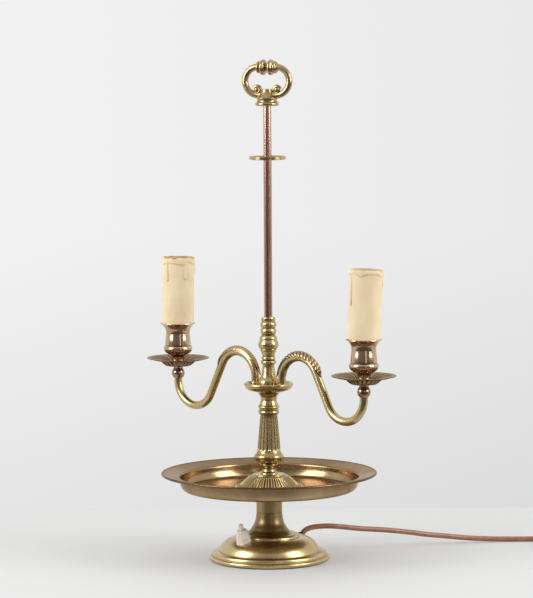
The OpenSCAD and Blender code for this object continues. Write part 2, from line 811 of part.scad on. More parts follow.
function leaf_width(t) =
    let (body = pow(sin(180 * pow(t, 1.15)), 0.75), teeth = 0.86 + 0.14 * abs(cos(180 * leaf_lobes * t)))
    6 + 78 * body * teeth;
function leaf_lift(t) = 2.4 * pow(max(0.24 - t, 0) / 0.24, 1.5);
function leaf_relief(t, s) =
    let (
        rib = 0.45 * exp(-pow(s / 0.16, 2)),
        veins = 0.35 * cos(360 * (leaf_lobes * t - 0.9 * abs(s))) * (1 - pow(s, 4)) * min(1, 5 * t),
        tip = 0.5 * exp(-pow((t - 0.86) / 0.09, 2)),
        body = (leaf_t - 0.8 + tip) * (1 - 0.65 * pow(s, 2))
    )
    max(body + rib + veins, 0.3) * min(1, 0.35 + 3 * t, 0.3 + 9 * (1 - t));
// The arm's middle line and its outward side, at angle a of the crest and beyond it
function leaf_way(a) = a >= arm_a
    ? [crest_x + crest_r * cos(a), crest_z + crest_r * sin(a)]
    : [arm_leave[0], arm_leave[2]] + crest_r * (arm_a - a) * PI / 180 * [sin(arm_a), -cos(arm_a)];
function leaf_point(t, s, h) =
    let (
        a = leaf_a0 + (leaf_a1 - leaf_a0) * t,
        w = leaf_width(t) * s,
        rho = arm_r + skin + h,
        out = leaf_lift(t) + rho * cos(w),
        side = max(a, arm_a),
        c = leaf_way(a)
    )
    [c[0] + out * cos(side), rho * sin(w), c[1] + out * sin(side)];

module leaf() {
    n = leaf_steps * leaf_lobes;
    m = 2 * leaf_across + 1;
    sides = [for (k = [-leaf_across:leaf_across]) k / leaf_across];
    points = [for (i = [0:n]) let (t = i / n) each concat(
        [for (s = sides) leaf_point(t, s, leaf_relief(t, s))],
        [for (k = [m - 1:-1:0]) leaf_point(t, sides[k], 0)]
    )];
    r = 2 * m;
    walls = [for (i = [0:n - 1], k = [0:r - 1])
        let (a = i * r + k, b = i * r + (k + 1) % r)
            each [[a, b, b + r], [a, b + r, a + r]]];
    caps = [for (k = [1:r - 2]) each [[0, k + 1, k], [n * r, n * r + k, n * r + k + 1]]];
    color(brass) polyhedron(points, concat(walls, caps));
}

// ---- Lights --------------------------------------------------------------------------

module at_light() {
    translate([arm_reach, 0, 0]) children();
}

module ball() {
    color(bronze) at_light() difference() {
        union() {
            translate([0, 0, ball_z]) sphere(ball_r);
            translate([0, 0, ball_z]) cylinder(r = 4, h = pan_z - ball_z);
        }
        translate([0, 0, ball_z - ball_r - 1])
            cylinder(r = arm_r + lap_t, h = dip_z + arm_into_ball - ball_z + ball_r + 1);
        translate([0, 0, ball_z - ball_r]) cylinder(r = nipple_bore_r, h = 2 * ball_r);
        translate([0, 0, nipple_z]) cylinder(r = nipple_r, h = pan_z - nipple_z + 1);
    }
}

module pan() {
    r = pan_r;
    d = pan_depth;
    color(bronze) at_light() translate([0, 0, pan_z]) rippled([
        [nipple_r + skin, 0, 0, 0],
        [5.6, 0, 0, 0],
        [9.2, 0.9, 0.1, 0.25],
        [12.8, d - 5.4, 0.1, 0.4],
        [r - 10, d - 2.8, 0.1, 0.45],
        [r - 5.5, d - 1.6, 0, 0.3],
        [r - 0.5, d - 0.9, 0, 0],
        [r, d - 0.3, 0, 0],
        [r - 0.7, d, 0, 0],
        [r - 5.5, d - 0.5, 0, 0.3],
        [r - 10, d - 1.5, 0.1, 0.45],
        [12.4, d - 4, 0.1, 0.4],
        [8.6, pan_t + 0.3, 0, 0.1],
        [8.1, pan_t, 0, 0],
        [nipple_r + skin, pan_t, 0, 0]
    ], pan_flutes);
}

module cup() {
    h = cup_h;
    b = cup_bulb_r;
    color(bronze) at_light() translate([0, 0, cup_z]) difference() {
        turned(concat(
            [[0, 0], [8, 0], [8.1, 0.8], [7.2, 1.6], [5.8, 3], [5.4, 5.5], [5.9, 8], [8.8, 9.6]],
            smooth([
                [b - 2.6, 10.3], [b - 1, 12], [b, 14.4], [b - 0.5, 16.2], [b - 1.6, 17.1]
            ], 3),
            smooth([
                [b - 1.35, 17.7], [b - 1.4, 19], [b - 1.6, 21.9], [b - 2.15, h - 10.5],
                [b - 2.3, h - 8.4], [b - 1.9, h - 6], [b - 0.9, h - 4], [cup_r - 2, h - 1.7],
                [cup_r - 0.3, h - 0.6]
            ], 3),
            [[cup_r, h - 0.3], [cup_r - 0.1, h], [cup_r - 0.8, h], [seat_r, h - 0.45]],
            [[seat_r, seat_z - cup_z], [0, seat_z - cup_z]]
        ));
        translate([0, 0, 13]) cylinder(r = cup_bore_r, h = h);
        translate([0, 0, -1]) cylinder(r = nipple_r, h = 15);
    }
}

module nipple() {
    color(steel) at_light() translate([0, 0, nipple_z])
        ring(nipple_r, nipple_bore_r, nipple_top - nipple_z);
}

module holder() {
    color(ivory) at_light() translate([0, 0, seat_z]) difference() {
        cylinder(r = holder_r, h = holder_h);
        translate([0, 0, holder_floor]) cylinder(r = 8.6, h = shell_z - seat_z - holder_floor);
        translate([0, 0, shell_z - seat_z - 1]) cylinder(r = screw_r + screw_wall, h = holder_h);
        translate([0, 0, -1]) cylinder(r = nipple_r, h = holder_floor + 2);
    }
}

// Ceramic insert with the centre contact in a well. Its rim carries the screw shell.
module insert() {
    color([0.9, 0.9, 0.88]) at_light() translate([0, 0, shell_z - insert_h]) {
        difference() {
            cylinder(r = 8.6, h = insert_h);
            translate([0, 0, insert_h - well_h]) cylinder(r = screw_r + shell_gap, h = well_h + 1);
        }
        translate([0, 0, insert_h - well_h - 1]) cylinder(r = 2.6, h = contact_h + 1);
    }
}

module shell() {
    color(brass) at_light() translate([0, 0, shell_z])
        ring(screw_r + screw_wall, screw_r, screw_l);
}

// The wire from the lampholder through the arm, the hub and the tie tube to the
// terminal block
module arm_wire(side) {
    bends_in_arm = concat(
        arc([dip_x, dip_z], dip_r, 0, arm_a - 180, 8),
        arc([crest_x, crest_z], crest_r, arm_a, 180, 8)
    );
    color(rubber) swept(concat(
        [[side * arm_reach, 0, shell_z - insert_h]],
        [for (q = bends_in_arm) [side * q[0], 0, q[1]]],
        [
            [side * arm_foot_x, 0, wire_hub_z + 1.5], [side * (arm_foot_x - 1.5), 0, wire_hub_z],
            [side * (wire_x + 1.5), 0, wire_hub_z], [side * wire_x, 0, wire_hub_z - 1.5],
            [side * wire_x, 0, wire_low_z + 1.5], [side * wire_x, 1.5, wire_low_z],
            [side * wire_x, block_y - 1.5, wire_low_z], [side * wire_x, block_y, wire_low_z - 1.5],
            [side * wire_x, block_y, cavity_z + block[2]]
        ]
    ), wire_r, 6, [0, 1, 0]);
}

// The sleeve leans about the point of its lower edge that stays on the cup's seat
module candle(side, lean) {
    lean_to = lean_way;
    pivot = [candle_r * cos(lean_to), candle_r * sin(lean_to), 0];
    color(cream) translate([side * arm_reach, 0, seat_z])
        translate(pivot)
            rotate(a = lean, v = [-sin(lean_to), cos(lean_to), 0])
                translate(-pivot)
                    ring(candle_r, candle_r - candle_wall, candle_h);
}

// ---- Switch --------------------------------------------------------------------------

module switch_body() {
    color(rubber) on_switch_seat() difference() {
        union() {
            translate([0, 0, -switch_case_drop - switch_case_h])
                cylinder(r = switch_case_r, h = switch_case_h);
            translate([0, 0, -switch_case_drop - 1]) cylinder(r = bush_r, h = bush_h + switch_case_drop + 1);
        }
        translate([0, 0, -switch_case_drop - switch_case_h + 2])
            cylinder(r = button_r + slide_gap, h = 40);
    }
}

module switch_nut() {
    top_r = nut_r - 2;
    taper = atan((nut_r - top_r) / nut_h);
    color(ivory) difference() {
        on_switch_seat() difference() {
            translate([0, 0, -1.6]) cylinder(r1 = nut_r + 0.3, r2 = top_r, h = nut_h + 1.6);
            translate([0, 0, -3]) cylinder(r = bush_r, h = bush_h + 3);
            cylinder(r = button_r + 0.3, h = nut_h + 1);
            for (i = [0:nut_facets - 1])
                rotate([0, 0, 360 * i / nut_facets])
                    translate([nut_r * cos(180 / nut_facets), -6, 0])
                        rotate([0, -taper, 0])
                            translate([0, 0, -4]) cube([4, 12, nut_h + 8]);
        }
        rotate_extrude($fn = 128) translate([dome_in, dome_z]) circle(dome_r);
    }
}

module switch_button() {
    color(ivory) on_switch_seat() translate([0, 0, nut_h + button_out - button_l])
        rotate_extrude($fn = 48) polygon(concat(
            [[0, 0], [button_r, 0], [button_r, button_l - 0.8]],
            arc([button_r - 0.8, button_l - 0.8], 0.8, 0, 90, 5),
            [[0, button_l]]
        ));
}

// ---- Wiring and cord -------------------------------------------------------------------

module terminal_block() {
    color(ivory) translate([-block[0] / 2, block_y - block[1] / 2, cavity_z]) cube(block);
}

module switch_leads() {
    bottom = switch_case_drop + switch_case_h;
    from = [0, -switch_y + bottom * sin(switch_tilt), switch_z - bottom * cos(switch_tilt)];
    lead_z = cavity_z + wire_r + 0.2;
    lead_x = weight_r + 3;
    color(rubber) swept([
        from, from + [0, 0.5, -1.2], [2, from[1] + 2, lead_z], [lead_x, -14, lead_z],
        [lead_x, block_y - 4, lead_z], [lead_x - 4, block_y, lead_z],
        [block[0] / 2, block_y, lead_z]
    ], wire_r, 6, [1, 0, 0]);
}

module cord_inner() {
    inner_z = cavity_z + 5;
    color(copper_cord) swept([
        on_hole_axis(-4), on_hole_axis(-5.5),
        [0, block_y + block[1] / 2 + 1.5, inner_z], [0, block_y + block[1] / 2, inner_z]
    ], cord_d / 2, 8, [1, 0, 0]);
}

module cord_grommet() {
    color(rubber) {
        difference() {
            on_cord_hole() rotate_extrude() polygon(concat(
                [[cord_d / 2, -0.9], [grommet_r, -0.9]],
                arc([grommet_r - 1.2, 0.3], 1.2, 0, 80, 5),
                [[3, grommet_out], [cord_d / 2, grommet_out]]
            ));
            rotate_extrude($fn = 128) translate([dome_in, dome_z]) circle(dome_r);
        }
        on_cord_hole() translate([0, 0, -3]) ring(grommet_neck_r, cord_d / 2, 3.2);
    }
}

module cord_run() {
    color(copper_cord) swept(smooth(run_points, 2), cord_d / 2, 8, [0, 0, 1]);
}

coil_steps = 24;
coil_line = concat(
    [coil_start],
    [for (i = [0:coil_turns * coil_steps]) coil_point(i / coil_steps)],
    [coil_stop]
);
coil_gap = min([for (i = [0:coil_steps:len(coil_line) - coil_steps - 1],
        j = [i + round(coil_steps / 2):len(coil_line) - 1])
    norm(coil_line[i] - coil_line[j])]) - cord_d;
echo(coil_least_gap_mm = coil_gap);

module cord_coil() {
    color(copper_cord) swept(coil_line, cord_d / 2, 6, [0, 0, 1]);
}

module cord_tail() {
    color(copper_cord) swept(smooth(tail_points, 2), cord_d / 2, 8, [0, 0, 1]);
}

module at_plug() {
    translate([plug_at[0], plug_at[1], plug_z]) rotate([0, 0, plug_turn]) children();
}

// Flat two pin plug: tapered sleeve, then a body that widens towards the pins
module plug_body() {
    nose = 6;
    color([0.9, 0.88, 0.84]) at_plug() {
        rotate([0, 90, 0]) cylinder(r1 = cord_d / 2 + 0.8, r2 = nose, h = sleeve_l + 1);
        intersection() {
            translate([sleeve_l, 0, -plug_t / 2]) linear_extrude(plug_t) polygon([
                [0, -nose], [10, -plug_w / 2 + 6], [20, -plug_w / 2 + 1.5], [plug_l, -plug_w / 2],
                [plug_l, plug_w / 2], [20, plug_w / 2 - 1.5], [10, plug_w / 2 - 6], [0, nose]
            ]);
            translate([sleeve_l - 1, 0, 0]) rotate([90, 0, 0])
                linear_extrude(plug_w + 2, center = true) polygon([
                    [0, -nose], [8, -plug_t / 2], [plug_l, -plug_t / 2], [plug_l + 1, -plug_t / 2 + 1],
                    [plug_l + 1, plug_t / 2 - 1], [plug_l, plug_t / 2], [8, plug_t / 2], [0, nose]
                ]);
        }
    }
}

module plug_pins() {
    color(steel) at_plug() for (side = [-1, 1])
        translate([sleeve_l + plug_l, side * pin_gap / 2, 0]) rotate([0, 90, 0]) {
            cylinder(r = pin_r, h = pin_l - 1);
            translate([0, 0, pin_l - 1]) cylinder(r1 = pin_r, r2 = pin_r - 0.8, h = 1);
        }
}

// ---- Sub-parts ---------------------------------------------------------------------------

foot();
bottom_plate();
felt_pad();
foot_weight();
collar();
tray();
rosette();
column();
arm_hub();
baluster();
rod();
shade_rest();
handle();
tie_tube();
tie_washer();
tie_nut();
switch_body();
switch_nut();
switch_button();
terminal_block();
switch_leads();
cord_inner();
cord_grommet();
cord_run();
cord_coil();
cord_tail();
plug_body();
plug_pins();
mirror([1, 0, 0]) arm();  // left_arm
mirror([1, 0, 0]) leaf();  // left_leaf
mirror([1, 0, 0]) ball();  // left_ball
mirror([1, 0, 0]) pan();  // left_pan
mirror([1, 0, 0]) cup();  // left_cup
mirror([1, 0, 0]) nipple();  // left_nipple
mirror([1, 0, 0]) holder();  // left_holder
mirror([1, 0, 0]) insert();  // left_insert
mirror([1, 0, 0]) shell();  // left_shell
arm_wire(-1);  // left_wire
candle(-1, left_lean);  // left_candle
arm();  // right_arm
leaf();  // right_leaf
ball();  // right_ball
pan();  // right_pan
cup();  // right_cup
nipple();  // right_nipple
holder();  // right_holder
insert();  // right_insert
shell();  // right_shell
arm_wire(1);  // right_wire
candle(1, right_lean);  // right_candle
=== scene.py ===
"""A brass bouillotte lamp with two candle lights, dressed for a plain studio picture.

Lengths in the shape code are millimetres, as on a workshop drawing, and MM turns them
into metres. Z is up, the arms lie along X, and the camera looks from the front right.
"""

import math

import bpy
from mathutils import Matrix, Vector


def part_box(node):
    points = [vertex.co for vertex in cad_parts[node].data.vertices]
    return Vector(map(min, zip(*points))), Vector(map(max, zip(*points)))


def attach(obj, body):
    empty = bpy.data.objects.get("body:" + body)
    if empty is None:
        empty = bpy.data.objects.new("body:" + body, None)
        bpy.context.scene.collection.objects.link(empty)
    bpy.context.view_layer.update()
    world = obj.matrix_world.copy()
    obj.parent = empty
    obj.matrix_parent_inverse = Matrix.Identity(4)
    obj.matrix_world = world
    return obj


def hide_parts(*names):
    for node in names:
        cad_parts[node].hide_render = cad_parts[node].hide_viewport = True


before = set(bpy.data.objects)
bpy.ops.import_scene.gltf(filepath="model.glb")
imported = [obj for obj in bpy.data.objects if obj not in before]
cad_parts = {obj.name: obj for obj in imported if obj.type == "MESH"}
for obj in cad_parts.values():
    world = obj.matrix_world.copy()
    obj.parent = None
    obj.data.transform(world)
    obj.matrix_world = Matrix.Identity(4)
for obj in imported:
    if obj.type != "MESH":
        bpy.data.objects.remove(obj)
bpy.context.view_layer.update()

MM = 0.001
WHOLE_TURN = 2 * math.pi
AXIS = 0.01  # radius at which a turned outline starts on its axis


# ---- Sizes, taken from the frame -----------------------------------------------------


def low(node):
    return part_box(node)[0] / MM


def high(node):
    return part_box(node)[1] / MM


FOOT_R = high("foot").x
FOOT_H = high("foot").z
FOOT_TOP = FOOT_H + 1.3  # the spun foot is drawn up a little over its collar
EDGE_Z = low("foot").z
PLATE_R = high("bottom_plate").x
TRAY_Z = low("tray").z
TRAY_R = high("tray").x
RIM_Z = high("tray").z
FLOOR_Z = low("rosette").z
COLUMN_Z = low("column").z
HUB_Z = low("arm_hub").z
HUB_R = high("arm_hub").x
HUB_TOP = low("baluster").z
ROD_Z = high("baluster").z
HANDLE_Z = low("handle").z
SHADE_Z = low("shade_rest").z
SHADE_R = high("shade_rest").x
SHADE_T = high("shade_rest").z - SHADE_Z
ROD_R = 3.5
BORE_R = 5.2  # hole for the tie tube, from the foot to the hub
ARM_R = 3.5
ARM_REACH = (low("right_ball").x + high("right_ball").x) / 2
ARM_FOOT_X = low("right_arm").x + ARM_R
DIP_R = 21.0
CREST_R = 20.5
DIP_Z = low("right_arm").z + DIP_R + ARM_R
CREST_Z = high("right_arm").z - CREST_R - ARM_R
PAN_Z = low("right_pan").z
PAN_R = high("right_pan").x - ARM_REACH
PAN_DEPTH = high("right_pan").z - PAN_Z
CUP_Z = low("right_cup").z
CUP_H = high("right_cup").z - CUP_Z
SEAT_Z = low("right_holder").z
NIPPLE_IN = 3.2  # hole for the nipple through pan and cup
CANDLE_R = 14.0
CANDLE_WALL = 1.3
CANDLE_H = 58.6
LEFT_LEAN = 1.0
RIGHT_LEAN = 2.5


# ---- Camera --------------------------------------------------------------------------

VIEW_AZIMUTH = math.radians(43)  # round from the front, towards the right arm
VIEW_PITCH = math.radians(5.2)
VIEW_ROLL = math.radians(0.3)
VIEW_PAN = math.radians(0.03)
CAMERA_AWAY = 2800.0
CAMERA_HEIGHT = 480.0
LENS = 198.18


def camera_side(away, azimuth_off=0.0, height=0.0):
    """A point at that distance from the axis, at an angle from the camera's side."""
    a = VIEW_AZIMUTH + azimuth_off
    return Vector((away * math.sin(a), -away * math.cos(a), height)) * MM


def add_object(name, data):
    thing = bpy.data.objects.new(name, data)
    bpy.context.scene.collection.objects.link(thing)
    return thing


def make_camera():
    data = bpy.data.cameras.new("camera")
    data.sensor_fit = "VERTICAL"
    data.sensor_height = 36
    data.lens = LENS
    data.clip_end = 20
    camera = add_object("camera", data)
    turn = Matrix.Rotation(VIEW_AZIMUTH + VIEW_PAN, 4, "Z")
    tilt = Matrix.Rotation(math.pi / 2 - VIEW_PITCH, 4, "X")
    roll = Matrix.Rotation(-VIEW_ROLL, 4, "Z")
    place = Matrix.Translation(camera_side(CAMERA_AWAY, height=CAMERA_HEIGHT))
    camera.matrix_world = place @ turn @ tilt @ roll
    bpy.context.scene.camera = camera


make_camera()


# ---- Curves --------------------------------------------------------------------------


def arc(centre, r, a0, a1, n=12):
    """Points on an arc, with its angles in degrees."""
    points = []
    for i in range(n + 1):
        a = math.radians(a0 + (a1 - a0) * i / n)
        points.append((centre[0] + r * math.cos(a), centre[1] + r * math.sin(a)))
    return points


def smooth(points, n=8):
    """A Catmull-Rom curve through the points, with n steps between neighbours."""
    p = [Vector(q) for q in points]
    out = []
    for i in range(len(p) - 1):
        b, c = p[i], p[i + 1]
        a = p[i - 1] if i else 2 * b - c
        d = p[i + 2] if i + 2 < len(p) else 2 * c - b
        for k in range(n):
            t = k / n
            out.append(
                (
                    2 * b
                    + (c - a) * t
                    + (2 * a - 5 * b + 4 * c - d) * t * t
                    + (3 * b - a - 3 * c + d) * t**3
                )
                / 2
            )
    out.append(p[-1])
    return [tuple(q) for q in out]


def finer(profile, step=0.8):
    """The same outline with a point at least every step, and none twice."""
    out = [Vector(profile[0])]
    for q in profile[1:]:
        q = Vector(q)
        gap = (q - out[-1]).length
        if gap < 1e-4:
            continue
        parts = max(1, math.ceil(gap / step))
        start = out[-1].copy()
        out += [start.lerp(q, k / parts) for k in range(1, parts + 1)]
    return out


def hollowness(profile, reach=1.6):
    """How deep each point of an outline lies in a groove, from 0 to 1, for the patina."""
    out = []
    n = len(profile)
    for i, p in enumerate(profile):
        near = [q for q in profile[max(0, i - 6) : i + 7] if (q - p).length < reach]
        mean = sum(near, Vector((0, 0))) / len(near)
        way = profile[min(i + 1, n - 1)] - profile[max(i - 1, 0)]
        if way.length < 1e-6:
            out.append(0.0)
            continue
        outward = Vector((way.y, -way.x)).normalized()
        out.append(min(1.0, max(0.0, (mean - p).dot(outward) / 0.3)))
    return out


def ease(t):
    t = min(1.0, max(0.0, t))
    return t * t * (3 - 2 * t)


# ---- Meshes --------------------------------------------------------------------------


def add_piece(name, points, faces, patina=None, sharp=38):
    """A mesh piece from points in millimetres, with one darkening value for each point: patina in
    hollows, and painted shade on some pieces.
    """
    mesh = bpy.data.meshes.new(name)
    mesh.from_pydata([Vector(p) * MM for p in points], [], faces)
    mesh.validate()
    if patina is not None:
        layer = mesh.attributes.new("patina", "FLOAT", "POINT")
        layer.data.foreach_set("value", patina)
    mesh.shade_smooth()
    mesh.set_sharp_from_angle(angle=math.radians(sharp))
    return add_object(name, mesh)


class Shape:
    """Points, faces and darkening values (patina, and painted shade) that several parts of one piece
    share.
    """

    def __init__(self):
        self.points = []
        self.faces = []
        self.patina = []

    def add(self, points, faces, patina, place=None):
        start = len(self.points)
        place = place or Matrix.Identity(4)
        self.points += [place @ Vector(p) for p in points]
        self.faces += [tuple(i + start for i in f) for f in faces]
        self.patina += patina
        if place.determinant() < 0:
            grown = self.faces[-len(faces) :]
            self.faces[-len(faces) :] = [tuple(reversed(f)) for f in grown]
        return self

    def piece(self, name, sharp=38):
        return add_piece(name, self.points, self.faces, self.patina, sharp)


def lathe(profile, segments=128, shape=None, step=0.8):
    """Turns an outline of (radius, height) round Z, going up on its outside.

    shape(r, z, a) may move a point and returns its radius, its height and how dark it is to be: its
    depth in a groove for the patina, and on some pieces painted shade.
    """
    line = finer(profile, step)
    deep = hollowness(line)
    n = len(line)
    points, patina, faces = [], [], []
    for s in range(segments):
        a = WHOLE_TURN * s / segments
        for q, d in zip(line, deep):
            r, z = q
            if shape:
                r, z, more = shape(r, z, a)
                d = min(1.0, d + more)
            points.append((r * math.cos(a), r * math.sin(a), z))
            patina.append(d)
    for s in range(segments):
        t = (s + 1) % segments
        for k in range(n - 1):
            faces.append((s * n + k, t * n + k, t * n + k + 1, s * n + k + 1))
    return points, faces, patina


def sweep(path, radius, sides=20, side=Vector((0, 1, 0)), deep=None):
    """A round rod along 3-D points. radius is a number or a function of the share run."""
    path = [Vector(p) for p in path]
    n = len(path)
    points, patina, faces = [], [], []
    up = side.copy()
    for i, p in enumerate(path):
        way = (path[min(i + 1, n - 1)] - path[max(i - 1, 0)]).normalized()
        up = (up - up.dot(way) * way).normalized()
        across = way.cross(up)
        r = radius(i / (n - 1)) if callable(radius) else radius
        for k in range(sides):
            a = WHOLE_TURN * k / sides
            points.append(p + r * (math.cos(a) * up + math.sin(a) * across))
            patina.append(deep(i / (n - 1), a) if deep else 0.0)
    for i in range(n - 1):
        for k in range(sides):
            a, b = i * sides + k, i * sides + (k + 1) % sides
            faces.append((a, b, b + sides, a + sides))
    faces.append(tuple(reversed(range(sides))))
    faces.append(tuple(range((n - 1) * sides, n * sides)))
    return points, faces, patina


def stand(piece, body, slot, material, *nodes):
    """Gives a finished piece its material, its body and the nodes that it stands for."""
    piece.data.materials.append(material)
    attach(piece, body)
    if nodes:
        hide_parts(*nodes)
    return piece


# ---- Materials -----------------------------------------------------------------------


class Nodes:
    """A short way to write the nodes of a material or of the world."""

    def __init__(self, owner):
        self.owner = owner
        owner.use_nodes = True
        self.tree = owner.node_tree
        self.shader = self.tree.nodes.get("Principled BSDF")

    def new(self, kind, **values):
        node = self.tree.nodes.new(kind)
        for key, value in values.items():
            setattr(node, key, value)
        return node

    def link(self, source, target):
        self.tree.links.new(source, target)

    def put(self, socket, value):
        """Sets a socket, or links it if the value is another node's output."""
        if isinstance(value, bpy.types.NodeSocket):
            self.link(value, socket)
        else:
            socket.default_value = value

    def place(self):
        return self.new("ShaderNodeTexCoord").outputs["Object"]

    def noise(self, scale, detail=4.0, rough=0.55, vector=None):
        node = self.new("ShaderNodeTexNoise")
        node.inputs["Scale"].default_value = scale
        node.inputs["Detail"].default_value = detail
        node.inputs["Roughness"].default_value = rough
        self.link(vector or self.place(), node.inputs["Vector"])
        return node.outputs["Fac"]

    def rings(self, scale):
        """Noise that runs in rings round the Z axis, as a lathe leaves it."""
        split = self.new("ShaderNodeSeparateXYZ")
        self.link(self.place(), split.inputs["Vector"])
        x, y, z = split.outputs
        squares = self.maths("ADD", self.maths("POWER", x, 2), self.maths("POWER", y, 2))
        reach = self.maths("SQRT", squares)
        join = self.new("ShaderNodeCombineXYZ")
        self.link(reach, join.inputs["X"])
        self.link(z, join.inputs["Y"])
        return self.noise(scale, 3, vector=join.outputs["Vector"])

    def attribute(self, name):
        return self.new("ShaderNodeAttribute", attribute_name=name).outputs["Fac"]

    def along(self, vector, axis):
        node = self.new("ShaderNodeVectorMath", operation="DOT_PRODUCT")
        self.link(vector, node.inputs[0])
        node.inputs[1].default_value = axis
        return node.outputs["Value"]

    def fit(self, value, from_low, from_high, to_low, to_high, blend="LINEAR"):
        node = self.new("ShaderNodeMapRange", interpolation_type=blend)
        self.put(node.inputs["Value"], value)
        node.inputs["From Min"].default_value = from_low
        node.inputs["From Max"].default_value = from_high
        node.inputs["To Min"].default_value = to_low
        node.inputs["To Max"].default_value = to_high
        return node.outputs["Result"]

    def maths(self, operation, a, b=0.0):
        node = self.new("ShaderNodeMath", operation=operation)
        self.put(node.inputs[0], a)
        self.put(node.inputs[1], b)
        return node.outputs[0]

    def mix(self, share, a, b):
        node = self.new("ShaderNodeMix", data_type="RGBA")
        self.put(node.inputs["Factor"], share)
        self.put(node.inputs["A"], a)
        self.put(node.inputs["B"], b)
        return node.outputs["Result"]

    def bump(self, height, strength, distance):
        node = self.new("ShaderNodeBump")
        node.inputs["Strength"].default_value = strength
        node.inputs["Distance"].default_value = distance
        self.link(height, node.inputs["Height"])
        self.link(node.outputs["Normal"], self.shader.inputs["Normal"])

    def set(self, **sockets):
        for name, value in sockets.items():
            self.put(self.shader.inputs[name.replace("_", " ")], value)


def rgb(red, green, blue):
    """A colour from 0 to 255 as it shows on a screen, as the linear value that nodes use."""

    def linear(v):
        v /= 255
        return v / 12.92 if v <= 0.04045 else ((v + 0.055) / 1.055) ** 2.4

    return (linear(red), linear(green), linear(blue), 1.0)


def metal(
    name, bright, dull, dark, rough=0.2, cloud=55, wear=0.5, groove=0.85, spun=0.0, grain=0.04,
    edge=(1, 1, 1, 1),
):
    """Old toned metal: clouds of two tones, dark in its grooves and where shade is painted on a piece,
    with fine scratches.

    spun is the strength of the fine rings that turning or polishing on a lathe leaves. edge
    tints what the metal mirrors at a low angle.
    """
    m = Nodes(bpy.data.materials.new(name))
    clouds = m.fit(m.noise(cloud, 5), 0.35, 0.68, 0.0, wear)
    tone = m.mix(clouds, bright, dull)
    spots = m.fit(m.noise(cloud * 9, 3), 0.56, 0.74, 0.0, 0.2)
    # the per-point attribute holds patina in hollows and, on some pieces, painted shade
    deep = m.maths("MULTIPLY", m.attribute("patina"), groove)
    grime_and_shade = m.maths("MAXIMUM", deep, m.maths("MULTIPLY", spots, wear))
    cloudy = m.fit(clouds, 0, 1, rough, rough + 0.1)
    roughness = m.maths("ADD", cloudy, m.fit(grime_and_shade, 0, 1, 0, 0.12))
    m.set(Base_Color=m.mix(grime_and_shade, tone, dark), Metallic=1.0, Roughness=roughness)
    m.set(Specular_Tint=edge)
    scratches = m.noise(1400, 3)
    if spun:
        scratches = m.maths("ADD", scratches, m.maths("MULTIPLY", m.rings(900), spun))
    if grain:
        m.bump(scratches, grain, 0.00004)
    return m.owner


def sheath(name, colour, deep, rough=0.35, coat=0.0, scale=220):
    """Plastic or rubber with a faint mottle."""
    m = Nodes(bpy.data.materials.new(name))
    mottle = m.fit(m.noise(scale, 4), 0.3, 0.7, 0.0, 1.0)
    roughness = m.fit(mottle, 0, 1, rough, rough + 0.12)
    m.set(Base_Color=m.mix(mottle, colour, deep), Roughness=roughness, Coat_Weight=coat)
    m.bump(m.noise(scale * 4, 2), 0.12, 0.00005)
    return m.owner


def wax():
    """Cream card with wax drips: browned towards its top rim and round the drips."""
    m = Nodes(bpy.data.materials.new("candle_wax"))
    mottle = m.fit(m.noise(60, 5), 0.3, 0.7, 0.0, 1.0)
    body = m.mix(mottle, rgb(234, 216, 180), rgb(224, 202, 162))
    patchy = m.fit(m.noise(300, 3), 0.36, 0.6, 0.35, 1.0)
    stain = m.maths("MULTIPLY", m.attribute("patina"), patchy)
    roughness = m.fit(mottle, 0, 1, 0.42, 0.55)
    m.set(Base_Color=m.mix(stain, body, rgb(146, 90, 44)), Roughness=roughness)
    m.set(Subsurface_Weight=0.08, Subsurface_Radius=(0.004, 0.002, 0.001))
    m.bump(m.noise(160, 4), 0.15, 0.0002)
    return m.owner


BRASS = metal(
    "toned_brass", rgb(200, 179, 130), rgb(168, 144, 98), rgb(92, 64, 30), rough=0.21, groove=0.6,
    grain=0,
)
FOOT_BRASS = metal(
    "foot_brass", rgb(206, 184, 136), rgb(180, 154, 104), rgb(82, 56, 20), rough=0.25, groove=0.8,
    spun=0.8, grain=0.08,
)
LEAF_BRASS = metal("leaf_brass", rgb(194, 170, 128), rgb(164, 136, 98), rgb(74, 50, 30), rough=0.22)
TRAY_BRONZE = metal(
    "tray_bronze", rgb(182, 158, 120), rgb(146, 118, 84), rgb(86, 60, 38), rough=0.15, cloud=38,
    wear=0.85, groove=0.7, spun=0.8, grain=0.08, edge=rgb(240, 227, 216),
)
PATINA = metal(
    "aged_bronze", rgb(160, 136, 108), rgb(126, 102, 78), rgb(46, 32, 24), rough=0.22,
    edge=rgb(232, 220, 208),
)
CUP_BRONZE = metal(
    "cup_bronze", rgb(210, 180, 152), rgb(180, 144, 116), rgb(70, 42, 32), rough=0.1, grain=0
)
COPPER = metal(
    "copper_rod", rgb(210, 173, 156), rgb(190, 148, 128), rgb(104, 54, 34), rough=0.16, grain=0, wear=0
)
PLAIN_BRASS = metal("plain_brass", rgb(214, 186, 116), rgb(196, 164, 98), rgb(110, 84, 44))
STEEL = metal("steel", rgb(190, 190, 190), rgb(170, 170, 170), rgb(90, 88, 84), rough=0.3)
IRON = metal("cast_iron", rgb(90, 90, 90), rgb(70, 68, 66), rgb(40, 38, 36), rough=0.55)
WAX = wax()
IVORY = sheath("ivory", rgb(240, 228, 216), rgb(222, 206, 194), 0.3)
CERAMIC = sheath("ceramic", rgb(238, 236, 230), rgb(230, 228, 220), 0.2, 0.3)
BLACK = sheath("black_plastic", rgb(40, 34, 34), rgb(28, 24, 24), 0.4)
RUBBER = sheath("rubber", rgb(44, 36, 36), rgb(30, 24, 24), 0.45)
CORD = sheath("cord_sheath", rgb(170, 118, 86), rgb(144, 94, 66), 0.28, 0.2)
WIRE = sheath("wire_sheath", rgb(90, 64, 48), rgb(70, 50, 38), 0.4)
FELT = sheath("felt", rgb(52, 70, 58), rgb(38, 54, 44), 0.95, scale=600)


# ---- Cord ----------------------------------------------------------------------------

